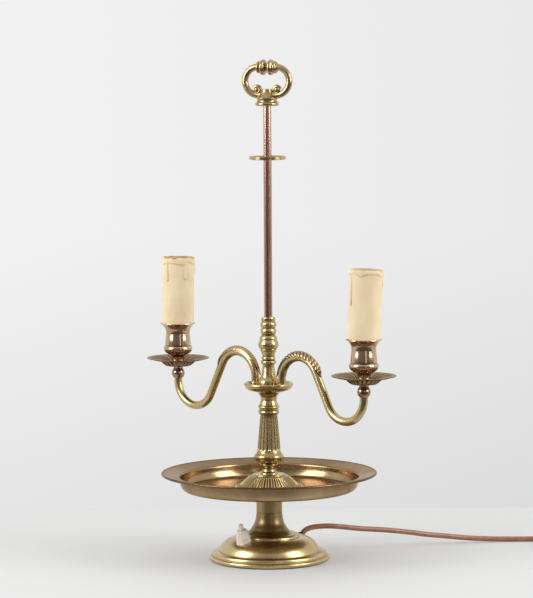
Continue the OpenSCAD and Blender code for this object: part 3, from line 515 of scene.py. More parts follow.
# The dome of the foot is an arc round this radius and height, and the hole for the cord
# lies at an angle on it
BEAD_R = 1.9
STEP_H = 3.9
DOME_R = 17.0
DOME_SUNK = 5.1
DOME_IN = FOOT_R - 24.8
DOME_Z = EDGE_Z + 2 * BEAD_R + STEP_H - DOME_SUNK
HOLE_ANGLE = math.radians(45)
HOLE_Y = DOME_IN + DOME_R * math.cos(HOLE_ANGLE)
HOLE_Z = DOME_Z + DOME_R * math.sin(HOLE_ANGLE)
GROMMET_OUT = 2.6

CORD_D = 4.6
COIL_AT = (172, 232)
COIL_HEADING = math.radians(45)
COIL_MID_R = 27.6
COIL_PITCH = 5.2
COIL_TURNS = 8
COIL_STEPS = 24
PLUG_AT = Vector((220.5, 232, 6.85))


def on_hole_axis(out):
    return (0, HOLE_Y + out * math.cos(HOLE_ANGLE), HOLE_Z + out * math.sin(HOLE_ANGLE))


def coil_point(t):
    """A point of the coil, after t turns: in along the floor, up a layer, out again."""
    middle = COIL_TURNS / 2

    def turns_out(s):
        return math.sqrt((s - middle) ** 2 + 0.01)

    r = COIL_MID_R + COIL_PITCH * (middle / 2 - turns_out(0) + turns_out(t))
    rise = ease((t - middle + 0.25) * 2)
    a = COIL_HEADING + math.pi / 2 - WHOLE_TURN * t
    z = CORD_D / 2 + 0.05 + COIL_PITCH * rise
    return (COIL_AT[0] + r * math.cos(a), COIL_AT[1] + r * math.sin(a), z)


def coil_end(t, way):
    """The end of the coil's straight lead, one diameter before or after its turns."""
    p = coil_point(t)
    step = way * CORD_D
    return (p[0] + step * math.cos(COIL_HEADING), p[1] + step * math.sin(COIL_HEADING), p[2])


def cord_line():
    steps = COIL_TURNS * COIL_STEPS
    run = [
        on_hole_axis(GROMMET_OUT - 1.5),
        on_hole_axis(GROMMET_OUT),
        (1, 45, 20.5), (3.5, 50, 22.3), (7.5, 57, 23), (12.5, 64.5, 22.8), (18, 74, 21.5),
        (26, 90, 18.8), (36, 110, 16.3), (46, 131, 12.8), (53, 146, 9.8), (63, 164, 7),
        (73, 181, 4.4), (84, 196, 3), (96, 210, 2.4), (112, 225, 2.4), (128, 241, 2.4),
        coil_end(0, -1),
    ]
    coil = [coil_point(i / COIL_STEPS) for i in range(steps + 1)]
    tail = [
        coil_end(COIL_TURNS, 1),
        (157, 269, 7.2), (168, 275, 6), (180, 276.8, 4.4), (192, 275, 3.2), (203, 269, 2.6),
        (212, 259.5, 2.9), (218, 249, 4.5), (220.3, 240, 6.2),
        tuple(PLUG_AT),
    ]
    return smooth(run, 4) + smooth(coil, 2) + smooth(tail, 4)


def make_cord():
    line = cord_line()
    shape = Shape().add(*sweep(line, CORD_D / 2, 16, Vector((1, 0, 0))))
    cord = stand(shape.piece("cord"), "lamp", "cord", CORD, "cord_run", "cord_coil", "cord_tail")


make_cord()


# ---- Foot, tray and rosette ----------------------------------------------------------


def make_foot():
    """Spun shell: a bead on the table, a step, a dome and a cove up to the collar."""
    bead_top = EDGE_Z + 2 * BEAD_R
    ledge = DOME_Z + DOME_R
    neck = 11.0
    reach = DOME_IN - 2.7 - neck
    rise = FOOT_H - 5 - ledge
    first = math.degrees(math.acos((FOOT_R - 8.6 - DOME_IN) / DOME_R))
    step = [(2.4, 0.1), (2.5, 1.4), (3.1, 2.8), (4.7, 3.75), (7.5, 4.05)]
    cove = [(0.67, 0.18), (0.43, 0.34), (0.28, 0.54), (0.18, 0.68), (0.11, 0.82)]
    profile = [(PLATE_R, EDGE_Z + 2), (PLATE_R, EDGE_Z)]
    profile += arc((FOOT_R - BEAD_R, EDGE_Z + BEAD_R), BEAD_R, -90, 68)
    profile += smooth([(FOOT_R - inward, bead_top + up) for inward, up in step])
    profile += arc((DOME_IN, DOME_Z), DOME_R, first, 90, 40)
    profile += arc((DOME_IN - 4.5, ledge + 0.1), 2.8, 0, 80, 10)
    profile += smooth(
        [(neck + out * reach, ledge + up * rise + 0.3) for out, up in cove]
        + [(neck + 0.7, FOOT_TOP - 5.5), (neck + 0.2, FOOT_TOP - 1.6), (neck, FOOT_TOP)]
    )
    profile += [(BORE_R, FOOT_TOP)]
    shape = Shape().add(*lathe(profile, 192))
    # painted shade: the cove under the tray is darkened, where it mirrors the tray's shaded underside
    painted_shade_under_tray = [0.75 * ease((p.z - ledge - 1) / 5) for p in shape.points]
    shape.patina = [0.3 * deep + dark for deep, dark in zip(shape.patina, painted_shade_under_tray)]
    stand(shape.piece("foot_shell"), "lamp", "brass", FOOT_BRASS, "foot")


def make_collar():
    r, inner, chamfer, dark = 11.07, 9.5, 0.35, 0.62
    profile = [(inner, FOOT_TOP), (r - chamfer, FOOT_TOP), (r, FOOT_TOP + chamfer)]
    profile += [(r, TRAY_Z - chamfer), (r - chamfer, TRAY_Z), (inner, TRAY_Z)]
    # painted shade: a constant dark value darkens the whole collar, as it mirrors the dark room in
    # front
    shape = Shape().add(*lathe(profile, 96, lambda r, z, a: (r, z, dark)))
    stand(shape.piece("tray_collar"), "lamp", "brass", FOOT_BRASS, "collar")


def make_tray():
    """A spun tray. Inside, its wall is upright at the top and curves in to the floor.

    Turns and leans are in degrees. The inner wall goes round the bend under the flange,
    nearly straight down, and then round a wide curve and the corner on the floor.
    """
    bend, sheet, lip, corner = 1.2, 1.2, 1.0, 2.5
    outer_r, outer_corner, outer_lean = 77.6, 6.0, 14
    wall_r, high_turn, top_turn = 25.0, 6, 1
    low_r, low_turn = 17.0, 25
    rim_z = RIM_Z + 1.4
    flange_down, flange_turn = 5.3, 104

    def way(angle):
        return Vector((math.cos(math.radians(angle)), math.sin(math.radians(angle))))

    bend_at = Vector((outer_r + bend, rim_z - flange_down))
    wall_at = bend_at - (wall_r + bend + sheet) * way(-top_turn)
    low_at = wall_at + (wall_r - low_r) * way(-high_turn)
    corner_at = low_at + (low_r - corner) * way(-low_turn)
    rise = FLOOR_Z + corner - corner_at.y
    low_at.y += rise
    corner_at.y += rise
    start = bend_at + bend * way(180 - outer_lean)
    foot_z = TRAY_Z + outer_corner * (1 + way(-outer_lean).y)
    foot_x = start.x - (start.y - foot_z) * math.tan(math.radians(outer_lean))
    outer_at = (foot_x - outer_corner * way(outer_lean).x, TRAY_Z + outer_corner)
    profile = [(BORE_R, TRAY_Z)]
    profile += arc(outer_at, outer_corner, -90, -outer_lean)
    profile += arc(bend_at, bend, 180 - outer_lean, flange_turn, 6)
    profile += arc((TRAY_R - lip, rim_z - lip), lip, -132, 151, 16)
    profile += arc(bend_at, bend + sheet, flange_turn, 180 - top_turn, 8)
    profile += arc(low_at, low_r, -high_turn, -low_turn, 16)
    profile += arc(corner_at, corner, -low_turn, -90)
    profile += [(BORE_R, FLOOR_Z)]
    shape = Shape().add(*lathe(profile, 256, step=2.0))
    ring = bend_at.x - 1.2

    def tarnish_and_painted_shade(r):
        """How dark the tray is at that radius: darker on its lip, and painted shade on its bend, floor
        and flange that dims their highlight and reflections.
        """
        return max(
            ease((r - TRAY_R + 2.6) / 1.5),
            0.6 * ease(1 - abs(r - ring) / 2.2),
            0.45 * ease((corner_at.x - r + 4) / 4),
            0.6 * ease((r - ring) / 2),
        )

    reach = [p.xy.length for p in shape.points]
    shape.patina = [0.2 * deep + tarnish_and_painted_shade(r) for deep, r in zip(shape.patina, reach)]
    stand(shape.piece("dished_tray"), "lamp", "bronze", TRAY_BRONZE, "tray")


def make_rosette():
    """A flat plate with a ring round it, and leaves that hang from it to a lobed edge."""
    leaves = 28
    r0 = high("rosette").x - 1.1
    h = COLUMN_Z - FLOOR_Z

    def leafy(r, z, a):
        along = (a * leaves / WHOLE_TURN + 0.5) % 1.0 - 0.5
        halves = abs(math.sin(WHOLE_TURN * along)) ** 1.2
        body = 0.7 * halves + 0.3 * abs(math.cos(math.pi * along)) ** 0.6
        share = ease((r - 14.6) / 3)
        edge = ease((r - r0 + 4) / 4)
        curl = 0.8 * math.exp(-(((r - r0 + 1.9) / 1.1) ** 2)) * halves
        out = r + edge * 1.3 * (body - 0.6)
        up = share * (2.1 * (body - 0.7) * (1 - 0.4 * edge) + curl)
        return out, max(FLOOR_Z, z + up), share * min(1.0, 1.7 * (1 - body))

    profile = [(r0 - 2, FLOOR_Z)]
    profile += smooth(
        [
            (r0 - 0.3, FLOOR_Z + 0.1), (r0, FLOOR_Z + 0.9), (r0 - 1, FLOOR_Z + 1.9),
            (r0 - 3.4, FLOOR_Z + 2.9), (r0 - 6.7, FLOOR_Z + 5.9), (r0 - 9.8, FLOOR_Z + h - 4.5),
            (r0 - 12.6, FLOOR_Z + h - 2.2), (14.6, FLOOR_Z + h - 1.3),
        ],
        6,
    )
    profile += arc((13.5, FLOOR_Z + h - 0.95), 0.6, -20, 170, 8)
    profile += [(12.7, FLOOR_Z + h - 0.8), (8.6, FLOOR_Z + h - 0.1), (8, COLUMN_Z), (BORE_R, COLUMN_Z)]
    shape = Shape().add(*lathe(profile, leaves * 16, leafy, step=0.8))
    stand(shape.piece("leafy_rosette"), "lamp", "brass", BRASS, "rosette")


# ---- Column, hub, baluster, rod and disc ---------------------------------------------


def make_column():
    """A narrow neck on the rosette, a round swelling, a fluted shaft and a bead."""
    z0 = COLUMN_Z
    h = HUB_Z - COLUMN_Z
    bulb, top, bead = 12.8, 7.3, 9.2
    flutes, end_r, sunk, wide = 20, 1.0, 0.6, 0.84
    shaft_r, shaft_z = bulb - 2.85, z0 + 20.2
    flute_low, flute_high = shaft_z + 0.2, z0 + h - 5.8

    def fluted(r, z, a):
        """Cuts round ended flutes into the shaft. Each takes a wide share of its pitch."""
        along = (a * flutes / WHOLE_TURN + 0.5) % 1.0 - 0.5
        end = max(0.0, flute_low + end_r - z, z - flute_high + end_r) / end_r
        across = 2 * along / wide
        depth = sunk * math.sqrt(max(0.0, 1 - across**2 - end**2))
        # painted shade: the swelling and neck below the flutes are darkened, where they mirror the
        # tray above
        dull = 0.3 * ease((shaft_z + 1 - z) / 3)
        return r - depth, z, max(dull, 0.6 * depth / sunk)

    profile = [(BORE_R, z0), (8.1, z0), (7.8, z0 + 0.8)]
    profile += smooth(
        [(7.5, z0 + 1), (6.3, z0 + 2.1), (5.7, z0 + 3.7), (5.7, z0 + 5.2), (6.3, z0 + 6.6)]
    )
    profile += arc((6.7, z0 + 7.9), 1.0, -80, 80, 8)
    profile += smooth(
        [
            (7.3, z0 + 9.2), (9.8, z0 + 10.1), (bulb - 0.7, z0 + 11.8), (bulb, z0 + 14.4),
            (bulb - 0.45, z0 + 16), (bulb - 1.6, z0 + 17.4), (bulb - 2.5, z0 + 18.8),
            (shaft_r, shaft_z),
        ]
    )
    profile += [(top, z0 + h - 5.4), (top + 0.3, z0 + h - 4.8), (top + 0.3, z0 + h - 4.3)]
    profile += arc((bead - 1.9, z0 + h - 2.3), 1.9, -75, 75)
    profile += [(bead - 0.85, z0 + h - 0.3), (bead - 0.85, z0 + h), (BORE_R, z0 + h)]
    shape = Shape().add(*lathe(profile, flutes * 18, fluted, step=0.5))
    stand(shape.piece("fluted_column"), "lamp", "brass", BRASS, "column")


def make_hub():
    """A waisted stem that opens into the arms' disc, with a boss for each arm."""
    z0 = HUB_Z
    h = HUB_TOP - HUB_Z
    rim = HUB_R
    bead, lip_up = 1.5, 1.8
    profile = [(BORE_R, z0), (8.35, z0), (8.35, z0 + 0.3)]
    profile += arc((7.9, z0 + 2.1), 1.3, -60, 60)
    profile += smooth(
        [
            (7.8, z0 + 4.2), (7.35, z0 + 6.1), (6.8, z0 + 7.8), (7, z0 + 9.5), (7.5, z0 + 11.2),
            (8.4, z0 + 12.6), (9.8, z0 + 14.4), (12.6, z0 + 15.4), (rim - 5.9, z0 + 16),
            (rim - 3.4, z0 + 16.8), (rim - 1.7, z0 + 18), (rim - 0.8, z0 + 19.3),
        ]
    )
    profile += arc((rim - bead, z0 + h + lip_up - bead), bead, -40, 100)
    profile += smooth([(rim - 2.2, z0 + h + 1.2), (rim - 3.2, z0 + h + 0.3), (rim - 4.6, z0 + h)], 4)
    profile += [(BORE_R, z0 + h)]
    shape = Shape().add(*lathe(profile, 160))
    inner, boss_r = 3.3, 4.8
    boss = [(inner, HUB_TOP - 1), (boss_r, HUB_TOP - 1), (boss_r, HUB_TOP + 0.9)]
    boss += [(boss_r - 0.5, HUB_TOP + 1.6), (inner, HUB_TOP + 1.8)]
    for side in (1, -1):
        shape.add(*lathe(boss, 48), place=Matrix.Translation((side * ARM_FOOT_X, 0, 0)))
    stand(shape.piece("arm_disc"), "lamp", "brass", BRASS, "arm_hub")


def make_baluster():
    """From the disc up: a flared foot, two rings, a pear shape and two big beads."""
    top = ROD_Z
    groove_r, bead, bead_r = 5.57, 6.9, 3.6

    def at(r, below):
        return (r, top - below)

    profile = [(5.1, HUB_TOP), (9.3, HUB_TOP)]
    profile += smooth(
        [
            (9.3, HUB_TOP), at(9.3, 56), at(8.8, 54.2), at(7.6, 52.7), at(6.5, 51), at(5.9, 49),
            at(5.5, 46.2), at(5.1, 43), at(5.1, 41), at(5.4, 40.2),
        ]
    )
    profile += arc(at(4.95, 38.6), 1.7, -72, 72, 10)
    profile += arc(at(4.3, 35.2), 1.7, -68, 68, 10)
    profile += smooth([at(5.2, 33.4), at(5.6, 31.8), at(6.2, 29.7), at(6.8, 28.5)])
    profile += arc(at(6.5, 27.7), 0.75, -60, 70, 6)
    profile += smooth(
        [
            at(7.2, 26.9), at(8.1, 26.1), at(8.6, 24.6), at(8.65, 23), at(8.2, 21.4), at(7.4, 20),
            at(7.2, 19.4), at(7.5, 18.5), at(7.3, 17.3), at(6.6, 16.2), at(groove_r, 15.2),
        ]
    )
    for below in (12, 6.4):
        profile += arc(at(bead - bead_r, below), bead_r, -50, 50, 12)
    profile += smooth([at(5.7, 3.4), at(6, 2.6), at(6.1, 1.2), at(6, 0.4)])
    profile += [(5.7, top), (3.4, top)]
    shape = Shape().add(*lathe(profile, 128, step=0.6))
    stand(shape.piece("turned_baluster"), "lamp", "brass", BRASS, "baluster")


def make_rod():
    """The rod with its stud. It is darker below the disc."""
    stud_r, stud_top = 2.5, high("rod").z
    profile = [(AXIS, ROD_Z - 5), (ROD_R, ROD_Z - 5), (ROD_R, HANDLE_Z), (stud_r, HANDLE_Z)]
    profile += [(stud_r, stud_top - 0.5), (stud_r - 0.5, stud_top), (AXIS, stud_top)]
    shape = Shape().add(*lathe(profile, 64, step=4))
    shape.patina = [0.35 * ease((SHADE_Z + 12 - p.z) / 24) for p in shape.points]
    stand(shape.piece("copper_rod"), "lamp", "copper", COPPER, "rod")


def make_shade_disc():
    """A thin disc with its edge turned up a little."""
    r = SHADE_R
    top = SHADE_Z + SHADE_T
    disc = [(ROD_R, SHADE_Z), (r - 2.5, SHADE_Z), (r - 0.4, SHADE_Z + 0.2), (r, SHADE_Z + 0.6)]
    disc += [(r, top + 0.9), (r - 0.5, top + 1.2), (r - 1, top + 0.9), (r - 2.2, top), (ROD_R, top)]
    stand(Shape().add(*lathe(disc, 96)).piece("shade_disc"), "lamp", "brass", BRASS, "shade_rest")


# ---- Handle --------------------------------------------------------------------------


def make_handle():
    """A moulded base, and on each side half a ring with a scroll below and a knop on top."""
    bore, base = 2.6, 10.2
    loop_z, loop_x, loop_r, loop_rod = 20.9, 8.3, 12.0, 2.8
    scroll_r, scroll_rod, ball_r = 2.7, 1.75, 2.8
    scroll_x = loop_x + 0.8
    scroll_z = loop_z - loop_r + 4.8
    knop_z, spool = loop_z + loop_r - 0.3, 2.6
    turned = 20

    profile = [(bore, 0), (base - 0.8, 0)]
    profile += arc((base - 1.5, 1.6), 1.5, -50, 75)
    profile += smooth(
        [
            (base - 1.5, 3.5), (base - 1.8, 4.6), (base - 1.5, 5.8), (base - 1.1, 6.6),
            (base - 1.4, 7.1), (base - 2.4, 8), (base - 3.5, 9.3), (base - 4.6, 11.2),
            (base - 5.3, 13), (base - 5.6, 14),
        ]
    )
    profile += [(base - 6, 14.3), (AXIS, 14.3)]
    shape = Shape().add(*lathe(profile, 96, step=0.6))

    knop = smooth(
        [
            (2.4, 0.5), (3.4, 0.8), (4.8, 1.3), (6.3, 2.3), (6.75, 3.6), (6.2, 4.9), (4.9, 5.9),
            (4.4, 6.3),
        ]
    )
    knop += arc((3.9, 7.5), 1.4, -60, 60, 8) + [(3.2, 9), (2.6, 9.6)]
    ball = [(max(r, AXIS), z) for r, z in arc((0, 0), ball_r, -90, 90, 16)]
    loop = [(x, 0, z) for x, z in arc((loop_x, loop_z), loop_r, -112, 98, 60)]
    scroll = [(x, 0, z) for x, z in arc((scroll_x, scroll_z), scroll_r, 10, 290, 48)]
    at_ball = Matrix.Translation((scroll_x, 0, scroll_z))
    at_knop = Matrix.Translation((0, 0, knop_z))
    lie = at_knop @ Matrix.Rotation(math.pi / 2, 4, "Y")
    for side in (1, -1):
        mirror = Matrix.Scale(side, 4, (1, 0, 0))
        shape.add(*sweep(loop, loop_rod, 28), place=mirror)
        shape.add(*sweep(scroll, scroll_rod, 20), place=mirror)
        shape.add(*lathe(ball, 24), place=mirror @ at_ball)
        shape.add(*lathe(knop, 48, step=0.5), place=mirror @ lie)
    shape.add(*sweep([(spool, 0, 0), (-spool, 0, 0)], spool, 24), place=at_knop)
    piece = shape.piece("ring_handle")
    turn = Matrix.Rotation(math.radians(turned), 4, "Z")
    piece.data.transform(Matrix.Translation((0, 0, HANDLE_Z * MM)) @ turn)
    stand(piece, "lift_handle", "brass", LEAF_BRASS, "handle")


# ---- Arms ----------------------------------------------------------------------------


def arm_bends():
    """Middles of the high and the low bend, and the angle at which the arm leaves the first."""
    crest = Vector((ARM_FOOT_X + CREST_R, CREST_Z))
    dip = Vector((ARM_REACH - DIP_R, DIP_Z))
    between = dip - crest
    leave = math.atan2(between.y, between.x) + math.acos((CREST_R + DIP_R) / between.length)
    return crest, dip, leave


def arm_line():
    """The middle line of the right arm, from the hub to the ball."""
    crest, dip, leave = arm_bends()
    leave = math.degrees(leave)
    line = [(ARM_FOOT_X, HUB_TOP - 1), (ARM_FOOT_X, HUB_TOP + 2)]
    line += arc(crest, CREST_R, 180, leave, 60)
    line += arc(dip, DIP_R, leave - 180, 0, 60)
    line += [(ARM_REACH, DIP_Z + 2)]
    return [(x, 0, z) for x, z in line]


def leaf_mesh(worn):
    """Acanthus leaf along the arm, free at its inner tip. worn is 1 if rubbed quite smooth."""
    long, across = 234, 18
    a0, a1 = math.radians(176), math.radians(9)
    lobes = 9
    crest, _, leave = arm_bends()
    foot = crest + CREST_R * Vector((math.cos(leave), math.sin(leave)))
    down = Vector((math.sin(leave), -math.cos(leave)))

    def width(t):
        body = math.sin(math.pi * t**1.15) ** 0.75
        teeth = 0.84 + 0.16 * (1 - worn) * abs(math.cos(math.pi * lobes * t)) ** 0.6
        return math.radians(6 + 78 * body * teeth)

    def relief(t, s):
        rib = 0.45 * math.exp(-((s / 0.14) ** 2))
        lobe = abs(math.cos(math.pi * (2 * lobes * t - 1.1 * abs(s)))) ** 0.8
        veins = 0.42 * (1 - worn) * (2 * lobe - 1) * (1 - 0.6 * s**4) * min(1.0, 5 * t)
        tip = 0.5 * math.exp(-(((t - 0.86) / 0.09) ** 2))
        body = (1.3 + tip) * (1 - 0.6 * s * s)
        ends = min(1.0, 0.35 + 3 * t, 0.3 + 9 * (1 - t))
        edge = (0.7 - 0.5 * worn) * ease((abs(s) - 0.8) / 0.2)
        return max(body + rib + veins, 0.3) * ends, max(edge, (1 - worn) * (1 - lobe) ** 1.3)

    def place(t, s, h):
        a = a0 + (a1 - a0) * t
        lift = 2.4 * (max(0.24 - t, 0) / 0.24) ** 1.5
        rho = ARM_R + 0.05 + h
        side = max(a, leave)
        if a >= leave:
            middle = crest + CREST_R * Vector((math.cos(a), math.sin(a)))
        else:
            middle = foot + CREST_R * (leave - a) * down
        out = lift + rho * math.cos(width(t) * s)
        across_arm = rho * math.sin(width(t) * s)
        return (middle.x + out * math.cos(side), across_arm, middle.y + out * math.sin(side))

    points, patina, faces = [], [], []
    ring = 2 * (2 * across + 1)
    row = [k / across for k in range(-across, across + 1)]
    for i in range(long + 1):
        t = min(i / long, 0.9999)
        for s in row:
            h, deep = relief(t, s)
            points.append(place(t, s, h))
            patina.append(min(1.0, 1.3 * deep))
        # the underside of the leaf is painted with shade, dark where it lies over the tube
        for s in reversed(row):
            points.append(place(t, s, 0))
            patina.append(0.9)
    for i in range(long):
        for k in range(ring):
            a, b = i * ring + k, i * ring + (k + 1) % ring
            faces.append((a, a + ring, b + ring, b))
    faces.append(tuple(range(ring)))
    faces.append(tuple(reversed(range(long * ring, (long + 1) * ring))))
    return points, faces, patina


def make_arm(side, name, worn):
    def shaded(t, a):
        """Painted shade where the leaf lies over the tube."""
        return 0.9 * ease((t - 0.02) / 0.05) * ease((0.45 - t) / 0.05) * ease(math.sin(a) * -1.5)

    mirror = Matrix.Scale(side, 4, (1, 0, 0))
    tube = Shape().add(*sweep(arm_line(), ARM_R, 28, deep=shaded), place=mirror)
    stand(tube.piece(name + "_arm_tube"), "lamp", "brass", BRASS, name + "_arm")
    leaf = Shape().add(*leaf_mesh(worn), place=mirror)
    stand(leaf.piece(name + "_arm_leaf", 60), "lamp", "brass", LEAF_BRASS, name + "_leaf")


# ---- Lights --------------------------------------------------------------------------


def make_ball(name, at):
    r = (high(name + "_ball").x - low(name + "_ball").x) / 2
    middle = low(name + "_ball").z + r
    ball = [(max(x, AXIS), z) for x, z in arc((0, middle), r, -90, 40, 24)]
    ball += smooth([(4.1, middle + 4.2), (3.9, PAN_Z - 1.4), (4.3, PAN_Z)])
    dark = lathe(ball, 64, lambda r, z, a: (r, z, 0.55), step=0.5)
    piece = Shape().add(*dark, place=at).piece(name + "_arm_ball")
    stand(piece, "lamp", "patina", CUP_BRONZE, name + "_ball")


def make_pan(name, at):
    """A drip pan pressed from one sheet, so its flutes show on both sides."""
    flutes = 24
    d = PAN_DEPTH

    def fluted(q, z, a):
        body = abs(math.cos(a * flutes / 2)) ** 0.8
        share = ease((q - 7.5) / 4) * ease((PAN_R - 0.8 - q) / 6)
        rim = ease((q - PAN_R + 3) / 2.5)
        up = 0.95 * share * (body - 0.55)
        return q - 0.35 * rim * (1 - body), z + up, 0.9 * share * (1 - body)

    under = [
        (5.6, 0), (9.4, 0.7), (12.6, 2.6), (14.8, 4.6), (17.2, 5.6), (22, 6.4),
        (PAN_R - 0.5, 7.2),
    ]
    upper = [
        (PAN_R - 0.7, d), (22, 7.3), (17, 6.5), (14.2, 5.3), (11.8, 3.4), (9.2, 1.9),
        (8.1, 1.5),
    ]
    pan = [(NIPPLE_IN, PAN_Z)] + smooth([(q, PAN_Z + up) for q, up in under])
    pan += [(PAN_R, PAN_Z + d - 0.3)] + smooth([(q, PAN_Z + up) for q, up in upper])
    pan += [(NIPPLE_IN, PAN_Z + 1.5)]
    piece = Shape().add(*lathe(pan, flutes * 14, fluted), place=at).piece(name + "_drip_pan")
    stand(piece, "lamp", "patina", PATINA, name + "_pan")


def make_cup(name, at):
    """A stem, a round belly and a flared lip round the sleeve's foot."""
    z0, h, belly = CUP_Z, CUP_H, 12.7
    holder_in, well = 8.5, 14.35
    lip = (high(name + "_cup").x - low(name + "_cup").x) / 2
    cup = [(NIPPLE_IN, z0), (8, z0), (8.1, z0 + 0.8)]
    cup += smooth(
        [(7.2, z0 + 1.6), (5.8, z0 + 3), (5.4, z0 + 5.5), (5.9, z0 + 8), (8.8, z0 + 9.6)]
    )
    cup += smooth(
        [
            (belly - 2.6, z0 + 10.3), (belly - 1, z0 + 12), (belly, z0 + 14.4),
            (belly - 0.5, z0 + 16.2), (belly - 1.6, z0 + 17.1),
        ]
    )
    cup += smooth(
        [
            (belly - 1.35, z0 + 17.7), (belly - 1.4, z0 + 19), (belly - 1.6, z0 + 21.9),
            (belly - 2.15, z0 + h - 10.5), (belly - 2.3, z0 + h - 8.4), (belly - 1.9, z0 + h - 6),
            (belly - 0.9, z0 + h - 4), (lip - 2, z0 + h - 1.7), (lip - 0.3, z0 + h - 0.6),
        ]
    )
    cup += [(lip, z0 + h - 0.3), (lip - 0.1, z0 + h), (lip - 0.8, z0 + h), (well, z0 + h - 0.45)]
    cup += [(well, SEAT_Z), (holder_in, SEAT_Z), (holder_in, z0 + 13), (3, z0 + 13)]
    piece = Shape().add(*lathe(cup, 96, step=0.6), place=at).piece(name + "_candle_cup")
    stand(piece, "lamp", "patina", CUP_BRONZE, name + "_cup")


def make_light(side, name):
    at = Matrix.Translation((side * ARM_REACH, 0, 0))
    make_ball(name, at)
    make_pan(name, at)
    make_cup(name, at)


# Drips: angle from the camera's side in degrees, width and length from the rim in
# millimetres, and how brown the line round each is
LEFT_DRIPS = [
    (-43, 3.6, 21, 0.45), (28, 4.4, 19, 0.45), (96, 4, 15, 0.3), (165, 5, 24, 0.4),
    (-120, 4, 18, 0.4),
]
RIGHT_DRIPS = [(-63, 3.2, 30, 0.9), (78, 3.6, 14, 0.3), (140, 4.6, 22, 0.4), (-130, 4, 17, 0.4)]


def make_candle(side, name, lean, drips, cap, browned):
    """A sleeve with a thin cap of wax that hangs down in drips.

    lean is in degrees, cap is the wax's depth between its drips, and browned is how brown
    the rim is, from 0 to 1.
    """
    h, r = CANDLE_H, CANDLE_R
    view = VIEW_AZIMUTH - math.pi / 2

    def depth_in_wax(a, below):
        """How far a point lies inside the wax, and how brown the edge is there."""
        edge = cap + 0.9 * math.sin(a * 5 + side) + 0.5 * math.sin(a * 9)
        inside, brown = edge - below, 0.25
        for angle, width, length, stain in drips:
            off = abs((a - view - math.radians(angle) + math.pi) % WHOLE_TURN - math.pi) * r
            tip = length - width / 2
            taper = 0.75 + 0.25 * ease((below - cap) / (tip - cap))
            if below < tip:
                reach = width / 2 * taper - off
            else:
                reach = width / 2 - math.hypot(off, below - tip)
            if reach > inside:
                inside, brown = reach, stain * ease((below - cap + 2) / (length - cap))
        return inside, brown

    def dripping(q, z, a):
        if q < r - 0.5:
            return q, z, 0.85 * browned * ease((z - h + 5) / 5)
        below = h - z
        inside, brown = depth_in_wax(a, below)
        thick = 0.75 * ease((inside + 0.1) / 1.1) if inside > -0.1 else 0.0
        line = brown * math.exp(-((inside / 0.45) ** 2))
        ragged = browned * ease((0.9 + 0.9 * math.sin(a * 7) * math.sin(a * 3 + 1) - below) / 0.8)
        return q + thick * ease(below / 1.2), z, min(1.0, max(line, ragged))

    wall = CANDLE_WALL
    profile = [Vector((r - wall, 0)), Vector((r - 0.2, 0)), Vector((r, 0.2)), Vector((r, h - 32))]
    profile += finer([(r, h - 32), (r, h - 0.3), (r - 0.3, h), (r - wall, h - 0.1)], 0.5)[1:]
    profile += [Vector((r - wall, 0))]
    shape = Shape().add(*lathe(profile, 240, dripping, step=4))
    piece = shape.piece(name + "_sleeve")
    way = Vector((math.cos(VIEW_AZIMUTH), math.sin(VIEW_AZIMUTH), 0))
    pivot = Matrix.Translation(way * r * MM)
    turn = Matrix.Rotation(math.radians(lean), 4, Vector((-way.y, way.x, 0)))
    place = Matrix.Translation(Vector((side * ARM_REACH, 0, SEAT_Z)) * MM)
    piece.data.transform(place @ pivot @ turn @ pivot.inverted())
    stand(piece, name + "_sleeve", "candle", WAX, name + "_candle")


# ---- Switch and grommet --------------------------------------------------------------


def on_dome(angle, azimuth):
    """The place on the foot's dome at that angle of its arc, with Z along the normal."""
    r = DOME_IN + DOME_R * math.cos(math.radians(angle))
    z = DOME_Z + DOME_R * math.sin(math.radians(angle))
    turn = Matrix.Rotation(azimuth, 4, "Z")
    return turn @ Matrix.Translation((r, 0, z)) @ Matrix.Rotation(math.radians(90 - angle), 4, "Y")


def make_switch():
    """A faceted nut on the front of the dome and the button in it."""
    seat = on_dome(74.7, -math.pi / 2)
    nut_r, nut_h, facets = 6.55, 10.8, 10

    def faceted(r, z, a):
        off = (a * facets / WHOLE_TURN) % 1.0 - 0.5
        flat = math.cos(math.pi / facets) / math.cos(off * WHOLE_TURN / facets)
        return (r * min(1.0, flat + 0.004) if r > 3.5 else r), z, 0.6 * ease((z - nut_h + 0.5) / 0.5)

    nut = [(4.2, -1.2), (nut_r + 0.2, -1.2), (nut_r, 0), (nut_r - 1.85, nut_h - 0.9)]
    nut += [(nut_r - 2.2, nut_h - 0.25), (nut_r - 3.2, nut_h - 0.1), (nut_r - 3.4, nut_h)]
    nut += [(2.6, nut_h), (2.4, nut_h - 1)]
    shape = Shape().add(*lathe(nut, facets * 12, faceted), place=seat)
    stand(shape.piece("faceted_nut", 20), "lamp", "ivory", IVORY, "switch_nut")
    r, top = 2.1, nut_h + 5.0
    button = [(AXIS, nut_h - 6), (r, nut_h - 6), (r, top - 2.9)]
    button += [(r - 0.25, top - 2.6), (r - 0.25, top - 2.2)]
    button += arc((r - 1, top - 1), 1, -35, 90, 10) + [(AXIS, top)]
    shape = Shape().add(*lathe(button, 48, step=0.4), place=seat)
    stand(shape.piece("button"), "push_button", "ivory", IVORY, "switch_button")


def make_grommet():
    seat = on_dome(math.degrees(HOLE_ANGLE), math.pi / 2)
    r, inner = 4.6, CORD_D / 2
    profile = [(inner, -0.5), (r, -1.0)]
    profile += arc((r - 1.2, 0.3), 1.2, 0, 80, 8)
    profile += [(3, GROMMET_OUT), (inner, GROMMET_OUT), (inner, -0.5)]
    shape = Shape().add(*lathe(profile, 48, step=0.4), place=seat)
    stand(shape.piece("cord_bush"), "lamp", "rubber", RUBBER, "cord_grommet")


